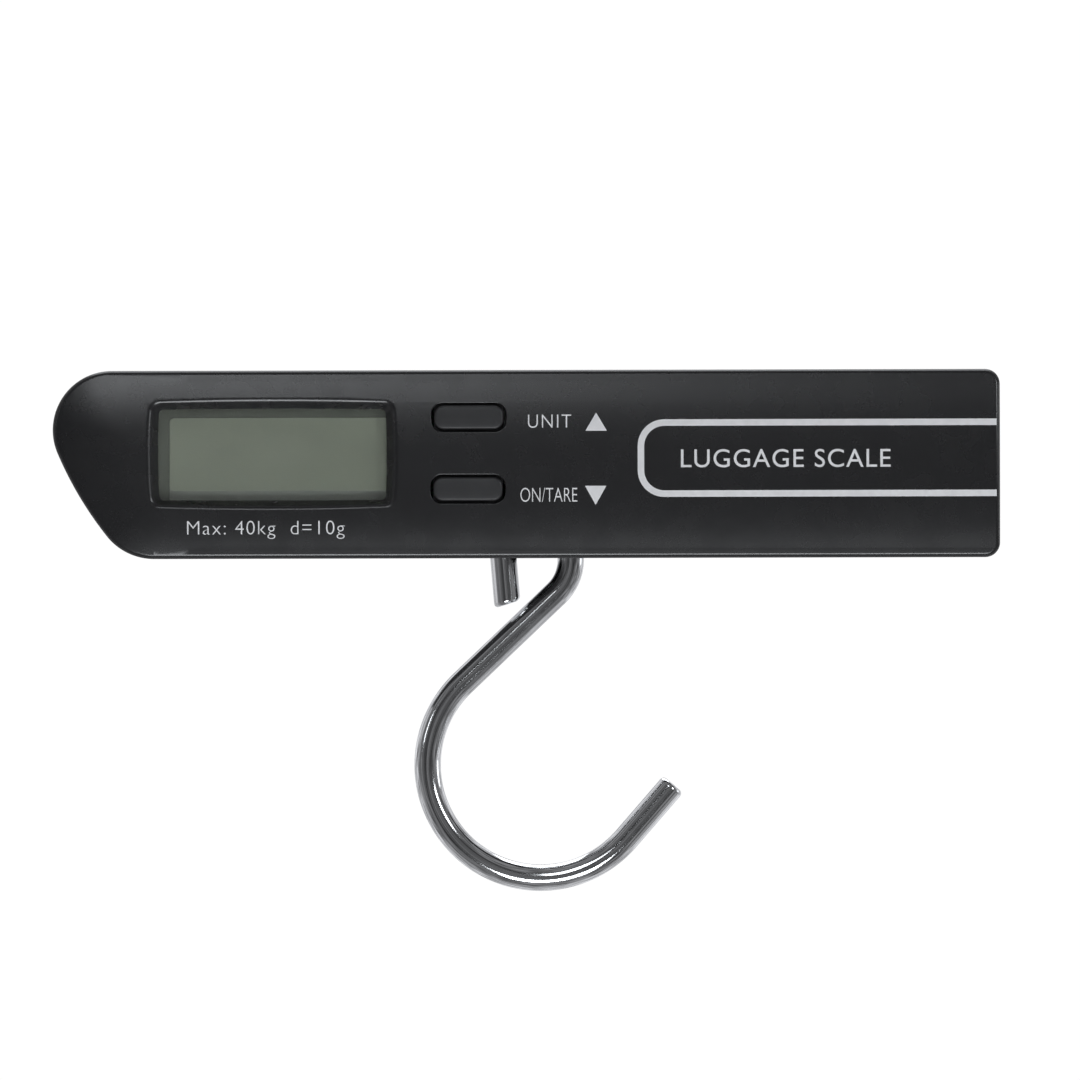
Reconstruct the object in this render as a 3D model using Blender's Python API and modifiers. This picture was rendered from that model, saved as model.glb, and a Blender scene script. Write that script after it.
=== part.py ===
"""Digital luggage scale: a hand-held case with a display, two buttons and a swinging hook.

Frame: X runs along the case with +X at its square end, the front face with the display looks
towards -Y, and +Z is up. The origin is on the flat top of the case, straight above the pin
that the hook hangs on. Sizes are in millimetres, and MM turns them into metres.
"""

import math

import bmesh
import bpy
from mathutils import Matrix, Vector

MM = 0.001
GAP = 0.3

# Case: one outline for both halves, with a raked, rounded left end
RIGHT_X = 78.5
LEFT_X = -81.5
HEIGHT = 31.8
FRONT_Y = -13.0
BACK_Y = 11.0
SEAM_Y = -5.0
WALL = 2.0
TOP_ARC_R = 10.0
SIDE_ARC_R = 61.0
BOTTOM_ARC_R = 10.2
TOP_ARC_END = 202.9
CORNER_R = 2.5
FRONT_ROUND = 0.9
BACK_ROUND = 2.0
TONGUE_OUTER = 1.3
TONGUE_DEPTH = 1.3

# Display opening: a sunk frame with sloped sides around a clear window
APERTURE = {"x": (-63.5, -25.0), "z": (-22.0, -6.7)}
FRAME = {"x": (-65.6, -23.2), "z": (-23.6, -5.1)}
FRAME_DEPTH = 1.4
FRAME_BOW = 0.4

# Display stack behind the opening, from the window to the rubber strips on the board
WINDOW = {"x": (-65.1, -23.4), "z": (-23.4, -5.2)}
WINDOW_Y = (-10.7, -9.7)
PANEL_LOW = (-64.9, -9.4, -23.2)
PANEL_HIGH = (-23.6, -7.4, -5.4)
HOLDER_RIM = {"x": (-66.3, -22.2), "z": (-24.6, -4.0)}
HOLDER_WELL = {"x": (-65.4, -23.1), "z": (-23.7, -4.9)}
ZEBRA_HALF = (18.5, 0.55, 1.0)
ZEBRA_Z = (-6.6, -22.0)

# Buttons
UNIT_CENTRE = (-11.2, -8.0)
TARE_CENTRE = (-11.35, -20.1)
BUTTON_HOLE = (12.6, 4.8)
BUTTON_KEY = (11.7, 4.0)
BUTTON_PROUD = 0.3
FLANGE_HEIGHT = 6.4
STEM_SIDE = 3.4
SWITCH_SIDE = 6.0

# Circuit board, seen edge-on from y = PCB_FRONT to y = PCB_BACK
PCB_FRONT = -5.7
PCB_BACK = -4.5
PCB_RIGHT = -5.6
PCB_INSET = 2.6

# Load path
BEAM_HALF_DEPTH = 3.2
BEAM_X = (-46.0, 5.0)
BEAM_Z = (-15.2, -3.2)
BEAM_MID_Z = sum(BEAM_Z) / 2
BEAM_SCREW_X = (-42.0, -33.0)
LINK_Y = (3.5, 5.0)
BOLT_R = 2.0
PIN_R = 2.25

# Hook: one bent wire in the plane y = 0
WIRE_R = 2.25
EYE_R = 6.0
EYE_Z = -24.8
PIN_Z = EYE_Z + EYE_R - WIRE_R - PIN_R - GAP
BEND_CENTRE = Vector((-2.1, -32.0))
BOWL_CENTRE = Vector((0.8, -66.9))
BOWL_R = 19.2
BOWL_END = -40.0
TIP_LENGTH = 11.6
STUB_TILT = 4.8
STUB_LENGTH = 14.4
SLOT_HALF = (11.3, 3.25)

# Battery bay: two cells one above the other, behind a cover that slides off
BAY_X = (22.5, 75.0)
BAY_Z = (-27.3, -4.5)
BAY_FLOOR = (-3.2, -2.0)
BAY_PARTITION = 20.5
CELL_R = 5.2
CELL_LENGTH = 44.5
CELL_Y = 3.55
CELL_Z = (-10.3, -21.5)
COVER_X = (20.0, RIGHT_X)
COVER_Z = (-28.6, -3.2)
COVER_THICK = 1.8
RAIL_Y = (7.4, 8.4)
RAIL_REACH = 0.8
CATCH_X = (18.3, 20.7, 22.3)
CATCH_HALF = 1.6
GRIP_GROOVES = 5
GRIP_PITCH = 2.0
GRIP_SIZE = (0.9, 0.6, 12.0)

# Screws: (x, z) of each, and the height of the seat under the head
CASE_SCREWS = ((-71.6, -10.0), (-58.0, -27.2), (14.0, -5.2), (14.0, -27.0))
CASE_SEAT_Y = 1.5
CASE_POST_END = -2.8
CASE_POST_R = 2.3
TUBE_R = 3.9
PILOT_R = 1.5
SCREW_HEAD_HOLE_R = 2.8
PCB_POST_R = 1.9
PCB_SCREWS = ((-69.2, -18.5), (-20.0, -20.5))


# ---------------------------------------------------------------- outlines, as (x, z) points


def arc(centre, radius, start, end, steps):
    """Points from one angle to another, in degrees, both ends included."""
    angles = [math.radians(start + (end - start) * i / steps) for i in range(steps + 1)]
    return [(centre[0] + radius * math.cos(a), centre[1] + radius * math.sin(a)) for a in angles]


def circle(centre, radius, sides=24):
    return arc(centre, radius, 0, 360, sides)[:-1]


def rounded_rect(centre, size, radius, bow=0.0, steps=4):
    """A rectangle with round corners, whose sides may swell outwards by the bow."""
    half = (size[0] / 2 - radius, size[1] / 2 - radius)
    points = []
    for turn in range(4):
        across = half[turn % 2]
        out = half[1 - turn % 2] + radius
        corner = arc((across, out - radius), radius, 0, 90, steps)
        side = [(across * s, out + bow * (1 - s * s)) for s in (0.6, 0.0, -0.6)] if bow else []
        angle = math.radians(90 * turn)
        for u, v in corner + side:
            x = centre[0] + u * math.cos(angle) - v * math.sin(angle)
            z = centre[1] + u * math.sin(angle) + v * math.cos(angle)
            points.append((x, z))
    return points


def span_rect(spans, radius, bow=0.0):
    """A rounded rectangle from its x and z spans."""
    (x0, x1), (z0, z1) = spans["x"], spans["z"]
    return rounded_rect(((x0 + x1) / 2, (z0 + z1) / 2), (x1 - x0, z1 - z0), radius, bow)


def case_outline(inset=0.0, right=None):
    """The outline of the case, moved inwards: three arcs that meet smoothly at the left end."""
    top = Vector((LEFT_X + TOP_ARC_R, -TOP_ARC_R))
    rake = math.radians(TOP_ARC_END)
    side = top - (SIDE_ARC_R - TOP_ARC_R) * Vector((math.cos(rake), math.sin(rake)))
    drop = (BOTTOM_ARC_R - HEIGHT - side.y) / (SIDE_ARC_R - BOTTOM_ARC_R)
    side_end = 180 - math.degrees(math.asin(drop))
    turn = math.radians(side_end)
    bottom = side + (SIDE_ARC_R - BOTTOM_ARC_R) * Vector((math.cos(turn), math.sin(turn)))
    x1 = RIGHT_X - inset if right is None else right
    corner = max(CORNER_R - inset, 0.5)
    return (
        arc(top, TOP_ARC_R - inset, 90, TOP_ARC_END, 9)
        + arc(side, SIDE_ARC_R - inset, TOP_ARC_END, side_end, 3)[1:]
        + arc(bottom, BOTTOM_ARC_R - inset, side_end, 270, 5)[1:]
        + arc((x1 - corner, inset - HEIGHT + corner), corner, 270, 360, 4)
        + arc((x1 - corner, -inset - corner), corner, 0, 90, 4)
    )


def hook_path():
    """The centre line of the hook's wire, from the end of the stub to the tip."""
    eye_start = 180 + STUB_TILT
    eye = arc((0, EYE_Z), EYE_R, eye_start, 0, 10)
    lean = math.radians(STUB_TILT)
    stub = Vector(eye[0]) + STUB_LENGTH * Vector((math.sin(lean), -math.cos(lean)))
    bend_r = EYE_R - BEND_CENTRE.x
    reach = BOWL_CENTRE - BEND_CENTRE
    crossing = math.acos((bend_r + BOWL_R) / reach.length)
    shank = math.degrees(math.atan2(reach.y, reach.x) + crossing)
    bend = arc(BEND_CENTRE, bend_r, 0, shank, 4)
    bowl = arc(BOWL_CENTRE, BOWL_R, shank + 180, 360 + BOWL_END, 18)
    rise = math.radians(BOWL_END)
    tip = Vector(bowl[-1]) + TIP_LENGTH * Vector((-math.sin(rise), math.cos(rise)))
    return [tuple(stub)] + eye + bend + bowl + [tuple(tip)]


# ---------------------------------------------------------------- shapes, as bmeshes


def tidy(bm):
    bmesh.ops.remove_doubles(bm, verts=bm.verts, dist=0.001)
    bmesh.ops.recalc_face_normals(bm, faces=bm.faces)
    return bm


def from_object(obj, place):
    """The evaluated mesh of a scratch object, which is then removed."""
    bpy.context.scene.collection.objects.link(obj)
    graph = bpy.context.evaluated_depsgraph_get()
    mesh = bpy.data.meshes.new_from_object(obj.evaluated_get(graph))
    bm = bmesh.new()
    bm.from_mesh(mesh)
    bm.transform(place)
    bpy.data.objects.remove(obj)
    bpy.data.meshes.remove(mesh)
    return tidy(bm)


def box(low, high):
    bm = bmesh.new()
    bmesh.ops.create_cube(bm, size=1.0)
    for vert in bm.verts:
        share = vert.co + Vector((0.5, 0.5, 0.5))
        vert.co = [a + (b - a) * s for a, b, s in zip(low, high, share)]
    return bm


def rod(start, end, radius, sides=24):
    """A cylinder between two points."""
    along = Vector(end) - Vector(start)
    place = Matrix.Translation((Vector(start) + Vector(end)) / 2)
    place @= Vector((0, 0, 1)).rotation_difference(along).to_matrix().to_4x4()
    bm = bmesh.new()
    bmesh.ops.create_cone(
        bm, cap_ends=True, segments=sides, radius1=radius, radius2=radius,
        depth=along.length, matrix=place,
    )
    return bm


def plate(outlines, low, high, facing="Y"):
    """Flat outlines made solid from low to high along an axis; an inner outline is a hole.

    The outlines are (x, z) points facing Y, (x, y) points facing Z and (y, z) points facing X.
    """
    curve = bpy.data.curves.new("outline", "CURVE")
    curve.dimensions = "2D"
    curve.fill_mode = "BOTH"
    curve.extrude = (high - low) / 2
    for outline in outlines:
        spline = curve.splines.new("POLY")
        spline.points.add(len(outline) - 1)
        for point, (across, up) in zip(spline.points, outline):
            point.co = (across, up, 0, 1)
        spline.use_cyclic_u = True
    middle = (low + high) / 2
    turns = {
        "X": Matrix(((0, 0, 1, middle), (1, 0, 0, 0), (0, 1, 0, 0), (0, 0, 0, 1))),
        "Y": Matrix(((1, 0, 0, 0), (0, 0, -1, middle), (0, 1, 0, 0), (0, 0, 0, 1))),
        "Z": Matrix.Translation((0, 0, middle)),
    }
    bm = from_object(bpy.data.objects.new("outline", curve), turns[facing])
    if len(outlines) == 1:
        bmesh.ops.dissolve_limit(bm, angle_limit=0.01, verts=bm.verts, edges=bm.edges)
    return bm


def tube(points, radius, roundness=2):
    """A round wire along the points."""
    curve = bpy.data.curves.new("wire", "CURVE")
    curve.dimensions = "3D"
    curve.bevel_depth = radius
    curve.bevel_resolution = roundness
    curve.use_fill_caps = True
    spline = curve.splines.new("POLY")
    spline.points.add(len(points) - 1)
    for point, place in zip(spline.points, points):
        point.co = (*place, 1)
    return from_object(bpy.data.objects.new("wire", curve), Matrix())


def turned(profile, along="Y", sides=24):
    """A shape turned about an axis, from (radius, height) points given from the top down."""
    mesh = bpy.data.meshes.new("profile")
    edges = [(i, i + 1) for i in range(len(profile) - 1)]
    mesh.from_pydata([(radius, 0, height) for radius, height in profile], edges, [])
    obj = bpy.data.objects.new("profile", mesh)
    lathe = obj.modifiers.new("Screw", "SCREW")
    lathe.steps = sides
    lathe.render_steps = sides
    lathe.use_merge_vertices = True
    lathe.merge_threshold = 0.0001
    turn = {
        "X": Matrix.Rotation(math.radians(90), 4, "Y"),
        "Y": Matrix.Rotation(math.radians(-90), 4, "X"),
    }
    return from_object(obj, turn[along])


def loft(sections):
    """A closed skin over (y, outline) sections that all have the same number of points."""
    bm = bmesh.new()
    rings = [[bm.verts.new((x, y, z)) for x, z in outline] for y, outline in sections]
    for ring, following in zip(rings, rings[1:]):
        for i in range(len(ring)):
            bm.faces.new((ring[i - 1], ring[i], following[i], following[i - 1]))
    bm.faces.new(rings[0])
    bm.faces.new(rings[-1])
    bmesh.ops.recalc_face_normals(bm, faces=bm.faces)
    return bm


def rounded_rim(bm, y, radius, segments):
    """Rounds the edges that lie at one depth."""
    rim = [e for e in bm.edges if all(abs(v.co.y - y) < 0.01 for v in e.verts)]
    bmesh.ops.bevel(bm, geom=rim, offset=radius, segments=segments, profile=0.5, affect="EDGES")
    return bm


def smooth_route(points, steps=4):
    """Points along a Catmull-Rom curve through the given ones."""
    ends = [2 * points[0] - points[1]] + points + [2 * points[-1] - points[-2]]
    route = []
    for a, b, c, d in zip(ends, ends[1:], ends[2:], ends[3:]):
        for i in range(steps):
            t = i / steps
            bend = 2 * a - 5 * b + 4 * c - d
            twist = 3 * b - a - 3 * c + d
            route.append(b + 0.5 * t * ((c - a) + t * (bend + t * twist)))
    return route + [points[-1]]


# ---------------------------------------------------------------- objects and materials


def clear_scene():
    for obj in list(bpy.data.objects):
        bpy.data.objects.remove(obj)


def new_collection(name):
    made = bpy.data.collections.new(name)
    bpy.context.scene.collection.children.link(made)
    return made


def material(name, colour, roughness, metallic=0.0):
    made = bpy.data.materials.new(name)
    made.use_nodes = True
    shader = made.node_tree.nodes["Principled BSDF"]
    shader.inputs["Base Color"].default_value = (*colour, 1.0)
    shader.inputs["Roughness"].default_value = roughness
    shader.inputs["Metallic"].default_value = metallic
    made.diffuse_color = (*colour, 1.0)
    return made


clear_scene()
PARTS = new_collection("digital_luggage_scale")
HELPERS = new_collection("helpers")

BLACK = material("black_casing", (0.022, 0.022, 0.025), 0.38)
KEY_BLACK = material("black_button", (0.02, 0.02, 0.022), 0.45)
CLEAR = material("clear_window", (0.85, 0.9, 0.87), 0.05)
LCD_GREEN = material("display_glass", (0.15, 0.17, 0.135), 0.25)
WHITE = material("white_plastic", (0.75, 0.75, 0.72), 0.5)
RUBBER = material("grey_rubber", (0.1, 0.1, 0.11), 0.8)
BOARD = material("green_board", (0.02, 0.12, 0.04), 0.5)
EPOXY = material("black_epoxy", (0.012, 0.012, 0.012), 0.3)
CHROME = material("chrome_wire", (0.75, 0.75, 0.76), 0.1, 1.0)
STEEL = material("plain_steel", (0.55, 0.55, 0.56), 0.35, 1.0)
ALUMINIUM = material("aluminium", (0.75, 0.76, 0.77), 0.35, 1.0)
BRASS = material("brass", (0.75, 0.55, 0.22), 0.35, 1.0)
FOIL = material("gauge_foil", (0.7, 0.45, 0.12), 0.5)
CELL = material("battery_wrap", (0.05, 0.09, 0.16), 0.35)
RED_WIRE = material("red_wire", (0.5, 0.02, 0.02), 0.5)
BLACK_WIRE = material("black_wire", (0.015, 0.015, 0.015), 0.5)
GREY_WIRE = material("grey_wire", (0.35, 0.35, 0.36), 0.5)


def to_mesh(name, bm):
    """Writes a bmesh in millimetres to a mesh in metres."""
    bm.transform(Matrix.Scale(MM, 4))
    mesh = bpy.data.meshes.new(name)
    bm.to_mesh(mesh)
    bm.free()
    mesh.shade_smooth()
    mesh.set_sharp_from_angle(angle=math.radians(35))
    return mesh


def place(name, mesh, at=(0, 0, 0), turn=0.0):
    """An object that shows the mesh at a point, turned about Z by an angle in degrees."""
    obj = bpy.data.objects.new(name, mesh)
    obj.location = Vector(at) * MM
    obj.rotation_euler.z = math.radians(turn)
    PARTS.objects.link(obj)
    return obj


def piece(name, bm, finish, at=(0, 0, 0)):
    mesh = to_mesh(name, bm)
    mesh.materials.append(finish)
    return place(name, mesh, at)


def combine(target, operation, shapes):
    for shape in shapes:
        helper = bpy.data.objects.new(f"{target.name}_{operation.lower()}", to_mesh("helper", shape))
        helper.hide_render = True
        helper.display_type = "WIRE"
        HELPERS.objects.link(helper)
        modifier = target.modifiers.new(operation.title(), "BOOLEAN")
        modifier.operation = operation
        modifier.object = helper


def cut(target, *shapes):
    combine(target, "DIFFERENCE", shapes)


def join(target, *shapes):
    combine(target, "UNION", shapes)


# ---------------------------------------------------------------- case


def front_casing():
    """The front half: a shallow tray with the display frame, button holes and screw posts."""
    rim_y = SEAM_Y - GAP / 2
    inner_y = FRONT_Y + WALL
    shell = plate([case_outline()], FRONT_Y, rim_y)
    casing = piece("front_casing", rounded_rim(shell, FRONT_Y, FRONT_ROUND, 3), BLACK)
    cut(casing, plate([case_outline(WALL)], inner_y, SEAM_Y + 1))
    tongue = [case_outline(TONGUE_OUTER), case_outline(WALL)]
    join(casing, plate(tongue, rim_y - 1.5, SEAM_Y + TONGUE_DEPTH))
    outer = span_rect(FRAME, 2.0, FRAME_BOW)
    inner = span_rect(APERTURE, 0.9, FRAME_BOW)
    frame_floor = FRONT_Y + FRAME_DEPTH
    cut(casing, loft([(FRONT_Y - 1, outer), (FRONT_Y, outer), (frame_floor, inner), (inner_y + 1, inner)]))
    for centre in (UNIT_CENTRE, TARE_CENTRE):
        cut(casing, plate([rounded_rect(centre, BUTTON_HOLE, 1.9)], FRONT_Y - 1, inner_y + 1))
    for x, z in CASE_SCREWS:
        join(casing, rod((x, inner_y - 1, z), (x, CASE_POST_END, z), CASE_POST_R, 20))
        cut(casing, rod((x, inner_y + 2.1, z), (x, CASE_POST_END + 1, z), PILOT_R, 16))
    for x, z in PCB_SCREWS:
        join(casing, rod((x, inner_y - 1, z), (x, PCB_FRONT - GAP, z), PCB_POST_R, 16))
        cut(casing, rod((x, inner_y + 0.6, z), (x, PCB_FRONT + 1, z), 1.3, 12))


def rear_casing():
    """The rear half: the hook slot, the beam's seat, the screw tubes and the battery bay."""
    inner_y = BACK_Y - WALL
    shell = plate([case_outline()], SEAM_Y + GAP / 2, BACK_Y)
    casing = piece("rear_casing", rounded_rim(shell, BACK_Y, BACK_ROUND, 4), BLACK)
    cut(
        casing,
        plate([case_outline(WALL, BAY_PARTITION)], SEAM_Y - 1, inner_y),
        plate([case_outline(WALL)], SEAM_Y - 1, BAY_FLOOR[0]),
        plate([case_outline(TONGUE_OUTER - GAP)], SEAM_Y - 1, SEAM_Y + TONGUE_DEPTH + GAP),
    )
    beam_seat = (BEAM_X[0], BEAM_HALF_DEPTH + GAP, BEAM_Z[0])
    join(casing, box(beam_seat, (BEAM_SCREW_X[1] + 4, inner_y + 1, BEAM_Z[1])))
    for x in BEAM_SCREW_X:
        cut(casing, rod((x, 2, BEAM_MID_Z), (x, inner_y - 0.1, BEAM_MID_Z), 2.7))
    for x, z in CASE_SCREWS:
        join(casing, rod((x, CASE_POST_END + GAP, z), (x, inner_y + 0.5, z), TUBE_R))
        cut(casing, rod((x, CASE_POST_END - 1, z), (x, CASE_SEAT_Y + 1, z), PILOT_R, 16))
        cut(casing, rod((x, CASE_SEAT_Y, z), (x, BACK_Y + 1, z), SCREW_HEAD_HOLE_R))
    cut(casing, box((BAY_X[0], BAY_FLOOR[1], BAY_Z[0]), (BAY_X[1], BACK_Y + 1, BAY_Z[1])))
    lip_y = RAIL_Y[1] + GAP
    beyond = RIGHT_X + 5
    cut(casing, box((COVER_X[0] - GAP, lip_y, COVER_Z[0] - GAP), (beyond, BACK_Y + 1, COVER_Z[1] + GAP)))
    groove = RAIL_REACH + GAP
    cut(
        casing,
        box(
            (BAY_PARTITION - 0.1, RAIL_Y[0] - GAP, COVER_Z[0] - groove),
            (beyond, lip_y + 0.1, COVER_Z[1] + groove),
        ),
    )
    for z in CELL_Z:
        cut(casing, box((BAY_X[0] - 0.1, BAY_FLOOR[0] - 1, z - 1.4), (BAY_X[0] + 1.2, 0, z + 1.4)))
    slot = rounded_rect((0, 0), (2 * SLOT_HALF[0], 2 * SLOT_HALF[1]), SLOT_HALF[1] - 0.05)
    cut(casing, plate([slot], -HEIGHT - 1, -HEIGHT + WALL + 0.5, "Z"))


def battery_cover():
    """Slides off along +X on two rails; its end closes the end of the case.

    The catch is narrow, so that it passes between the two cells.
    """
    x0, x1 = COVER_X
    z0, z1 = COVER_Z
    inner_y = BACK_Y - COVER_THICK
    lip_y = RAIL_Y[0] + 0.1
    side = [(x0, inner_y), (x1 - 1.7, inner_y), (x1 - 1.7, lip_y), (x1, lip_y)]
    side += arc((x1 - BACK_ROUND, BACK_Y - BACK_ROUND), BACK_ROUND, 0, 90, 4) + [(x0, BACK_Y)]
    cover = piece("battery_cover", plate([side], z0, z1, "Z"), BLACK)
    for edge, way in ((z0, -1), (z1, 1)):
        rail = [
            (RAIL_Y[0], edge + way * RAIL_REACH),
            (RAIL_Y[1], edge + way * RAIL_REACH),
            (RAIL_Y[1], edge),
            (inner_y + 0.5, edge),
            (inner_y + 0.5, edge - way),
            (RAIL_Y[0], edge - way),
        ]
        rail = [(y, z - way * 0.01) for y, z in rail]
        join(cover, plate([rail], BAY_X[0], x1 - 1, "X"))
    tip_x, neck_x, root_x = CATCH_X
    catch = [(tip_x, RAIL_Y[0]), (root_x, RAIL_Y[0]), (root_x, inner_y + 0.5)]
    catch += [(neck_x, inner_y + 0.5), (neck_x, RAIL_Y[1]), (tip_x, RAIL_Y[1])]
    middle = (z0 + z1) / 2
    join(cover, plate([catch], middle - CATCH_HALF, middle + CATCH_HALF, "Z"))
    width, depth, height = GRIP_SIZE
    for i in range(GRIP_GROOVES):
        x = x0 + 5 + GRIP_PITCH * i
        low = (x, BACK_Y - depth, middle - height / 2)
        cut(cover, box(low, (x + width, BACK_Y + 1, middle + height / 2)))
    move_origin(cover, (x0, inner_y, middle))


def move_origin(obj, point):
    """Puts the object's origin at a point and leaves its shape where it is."""
    shift = Vector(point) * MM - obj.location
    obj.data.transform(Matrix.Translation(-shift))
    obj.location += shift


# ---------------------------------------------------------------- display


def display():
    piece("display_window", plate([span_rect(WINDOW, 1.2)], *WINDOW_Y), CLEAR)
    piece("lcd_panel", box(PANEL_LOW, PANEL_HIGH), LCD_GREEN)
    rim = span_rect(HOLDER_RIM, 1.5)
    well = span_rect(HOLDER_WELL, 1.2)
    strip_y = PANEL_HIGH[1] + GAP + ZEBRA_HALF[1]
    holder = piece("lcd_holder", plate([rim], WINDOW_Y[0], PCB_FRONT - GAP), WHITE)
    cut(holder, plate([well], WINDOW_Y[0] - 1, PANEL_HIGH[1] + GAP))
    middle = Vector(((HOLDER_WELL["x"][0] + HOLDER_WELL["x"][1]) / 2, strip_y, 0))
    for name, z in zip(("zebra_strip_upper", "zebra_strip_lower"), ZEBRA_Z):
        middle.z = z
        piece(name, box([-half for half in ZEBRA_HALF], ZEBRA_HALF), RUBBER, middle)
        slot = Vector((ZEBRA_HALF[0] + GAP, 2, ZEBRA_HALF[2] + GAP))
        cut(holder, box(middle - slot, middle + slot))


# ---------------------------------------------------------------- board, switches and buttons


def circuit_board():
    holes = [circle(centre, 1.4, 12) for centre in PCB_SCREWS]
    outline = case_outline(PCB_INSET, PCB_RIGHT)
    board = piece("main_pcb", plate([outline] + holes, PCB_FRONT, PCB_BACK), BOARD)
    for x, z in CASE_SCREWS[:2]:
        cut(board, rod((x, PCB_FRONT - 1, z), (x, PCB_BACK + 1, z), CASE_POST_R + 0.4, 16))
    dome = [(0, 1.2), (2.0, 1.1), (3.4, 0.7), (4.0, 0), (0, 0)]
    piece("chip_blob", turned(dome), EPOXY, (-48.0, PCB_BACK + GAP, -21.5))


def button_shape():
    """A domed key, the flange that keeps it in and the stem that meets the switch."""
    width, height = BUTTON_KEY
    flange = (width, FLANGE_HEIGHT)
    stem = (STEM_SIDE, STEM_SIDE)
    levels = (
        (-BUTTON_PROUD, (width - 1.0, height - 1.0), 1.2),
        (-BUTTON_PROUD + 0.12, (width - 0.4, height - 0.4), 1.5),
        (0.15, BUTTON_KEY, 1.6),
        (2.3, BUTTON_KEY, 1.6),
        (2.3, flange, 1.6),
        (3.1, flange, 1.6),
        (3.1, stem, 1.6),
        (4.1, stem, 1.6),
    )
    return loft([(y, rounded_rect((0, 0), size, radius)) for y, size, radius in levels])


def buttons():
    key_mesh = to_mesh("button", button_shape())
    key_mesh.materials.append(KEY_BLACK)
    plunger_mesh = to_mesh("plunger", turned([(0, 1.4), (1.6, 1.4), (1.6, 0), (0, 0)], sides=16))
    plunger_mesh.materials.append(WHITE)
    switch_y = PCB_FRONT - GAP
    half = SWITCH_SIDE / 2
    for name, (x, z) in (("unit", UNIT_CENTRE), ("tare", TARE_CENTRE)):
        place(f"{name}_button", key_mesh, (x, FRONT_Y, z))
        place(f"{name}_plunger", plunger_mesh, (x, switch_y - 2.6, z))
        switch = piece(f"{name}_switch", box((-half, -2.0, -half), (half, 0, half)), EPOXY, (x, switch_y, z))
        cut(switch, rod((x, switch_y - 3, z), (x, switch_y - 0.3, z), 1.9, 16))


# ---------------------------------------------------------------- load cell and hook


def load_cell():
    x0, x1 = BEAM_X
    bar = rounded_rect(((x0 + x1) / 2, BEAM_MID_Z), (x1 - x0, BEAM_Z[1] - BEAM_Z[0]), 0.5, steps=1)
    pinch = math.degrees(math.asin(1.0 / 3.6))
    eyes = arc((-11, BEAM_MID_Z), 3.6, pinch - 180, 180 - pinch, 14)
    eyes += arc((-21, BEAM_MID_Z), 3.6, pinch, 360 - pinch, 14)
    bolt_hole = circle((0, BEAM_MID_Z), BOLT_R + GAP, 20)
    beam = piece(
        "load_cell_beam", plate([bar, eyes, bolt_hole], -BEAM_HALF_DEPTH, BEAM_HALF_DEPTH), ALUMINIUM
    )
    sink = [(0, 5), (1.8, 5), (1.8, 1.5), (3.2, 0), (3.2, -1), (0, -1)]
    screw = [(0, 11.3), (1.5, 11.3), (1.5, 1.35), (2.75, 0), (0, 0)]
    screw_mesh = to_mesh("beam_screw", turned(screw, sides=20))
    screw_mesh.materials.append(STEEL)
    insert_mesh = to_mesh("insert", plate([circle((0, 0), 2.4), circle((0, 0), 1.8)], 0, 4.7))
    insert_mesh.materials.append(BRASS)
    for side, x in zip(("left", "right"), BEAM_SCREW_X):
        shape = turned(sink, sides=20)
        shape.transform(Matrix.Translation((x, -BEAM_HALF_DEPTH, BEAM_MID_Z)))
        cut(beam, shape)
        cut(beam, rod((x, 0, BEAM_MID_Z), (x, 5, BEAM_MID_Z), 1.8, 20))
        place(f"beam_screw_{side}", screw_mesh, (x, -BEAM_HALF_DEPTH + 0.1, BEAM_MID_Z))
        place(f"threaded_insert_{side}", insert_mesh, (x, 3.8, BEAM_MID_Z))
    gauge_mesh = to_mesh("gauge", box((-6.5, -2.4, -0.15), (6.5, 2.4, 0.15)))
    gauge_mesh.materials.append(FOIL)
    place("strain_gauge_upper", gauge_mesh, (-16, 0, BEAM_Z[1] + 0.45))
    place("strain_gauge_lower", gauge_mesh, (-16, 0, BEAM_Z[0] - 0.45))


def link():
    """Two steel plates that carry the hook's pin below the free end of the beam."""
    outline = arc((0, BEAM_MID_Z), 5.0, 0, 180, 8) + arc((0, PIN_Z), 5.0, 180, 360, 8)
    holes = [circle((0, BEAM_MID_Z), BOLT_R + GAP, 20), circle((0, PIN_Z), PIN_R + GAP, 20)]
    piece("front_link_plate", plate([outline] + holes, -LINK_Y[1], -LINK_Y[0]), STEEL)
    piece("rear_link_plate", plate([outline] + holes, *LINK_Y), STEEL)
    head_y = -LINK_Y[1] - GAP
    bolt = piece("link_bolt", rod((0, -2.1, 0), (0, 0, 0), 3.6, 6), STEEL, (0, head_y, BEAM_MID_Z))
    join(bolt, rod((0, head_y - 0.5, BEAM_MID_Z), (0, 8.0, BEAM_MID_Z), BOLT_R, 20))
    nut = [arc((0, 0), 3.9, 0, 360, 6)[:-1], circle((0, 0), BOLT_R + GAP, 20)]
    piece("link_nut", plate(nut, 0, 2.3), STEEL, (0, LINK_Y[1] + GAP, BEAM_MID_Z))
    pin = [(0, 7.2), (PIN_R, 7.2), (PIN_R, 6.5), (1.7, 6.5), (1.7, 5.3), (PIN_R, 5.3)]
    pin += [(PIN_R, head_y), (3.2, head_y), (3.2, head_y - 1.3), (0, head_y - 1.3)]
    piece("hook_pin", turned(pin), STEEL, (0, 0, PIN_Z))
    clip = arc((0, 0), 3.7, -60, 240, 14) + arc((0, 0), 2.0, 240, -60, 14)
    piece("hook_pin_clip", plate([clip], 5.6, 6.2), STEEL, (0, 0, PIN_Z))


def hook():
    wire = [(x, 0, z - PIN_Z) for x, z in hook_path()]
    piece("hook", tube(wire, WIRE_R, 4), CHROME, (0, 0, PIN_Z))


# ---------------------------------------------------------------- batteries and wiring


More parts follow.
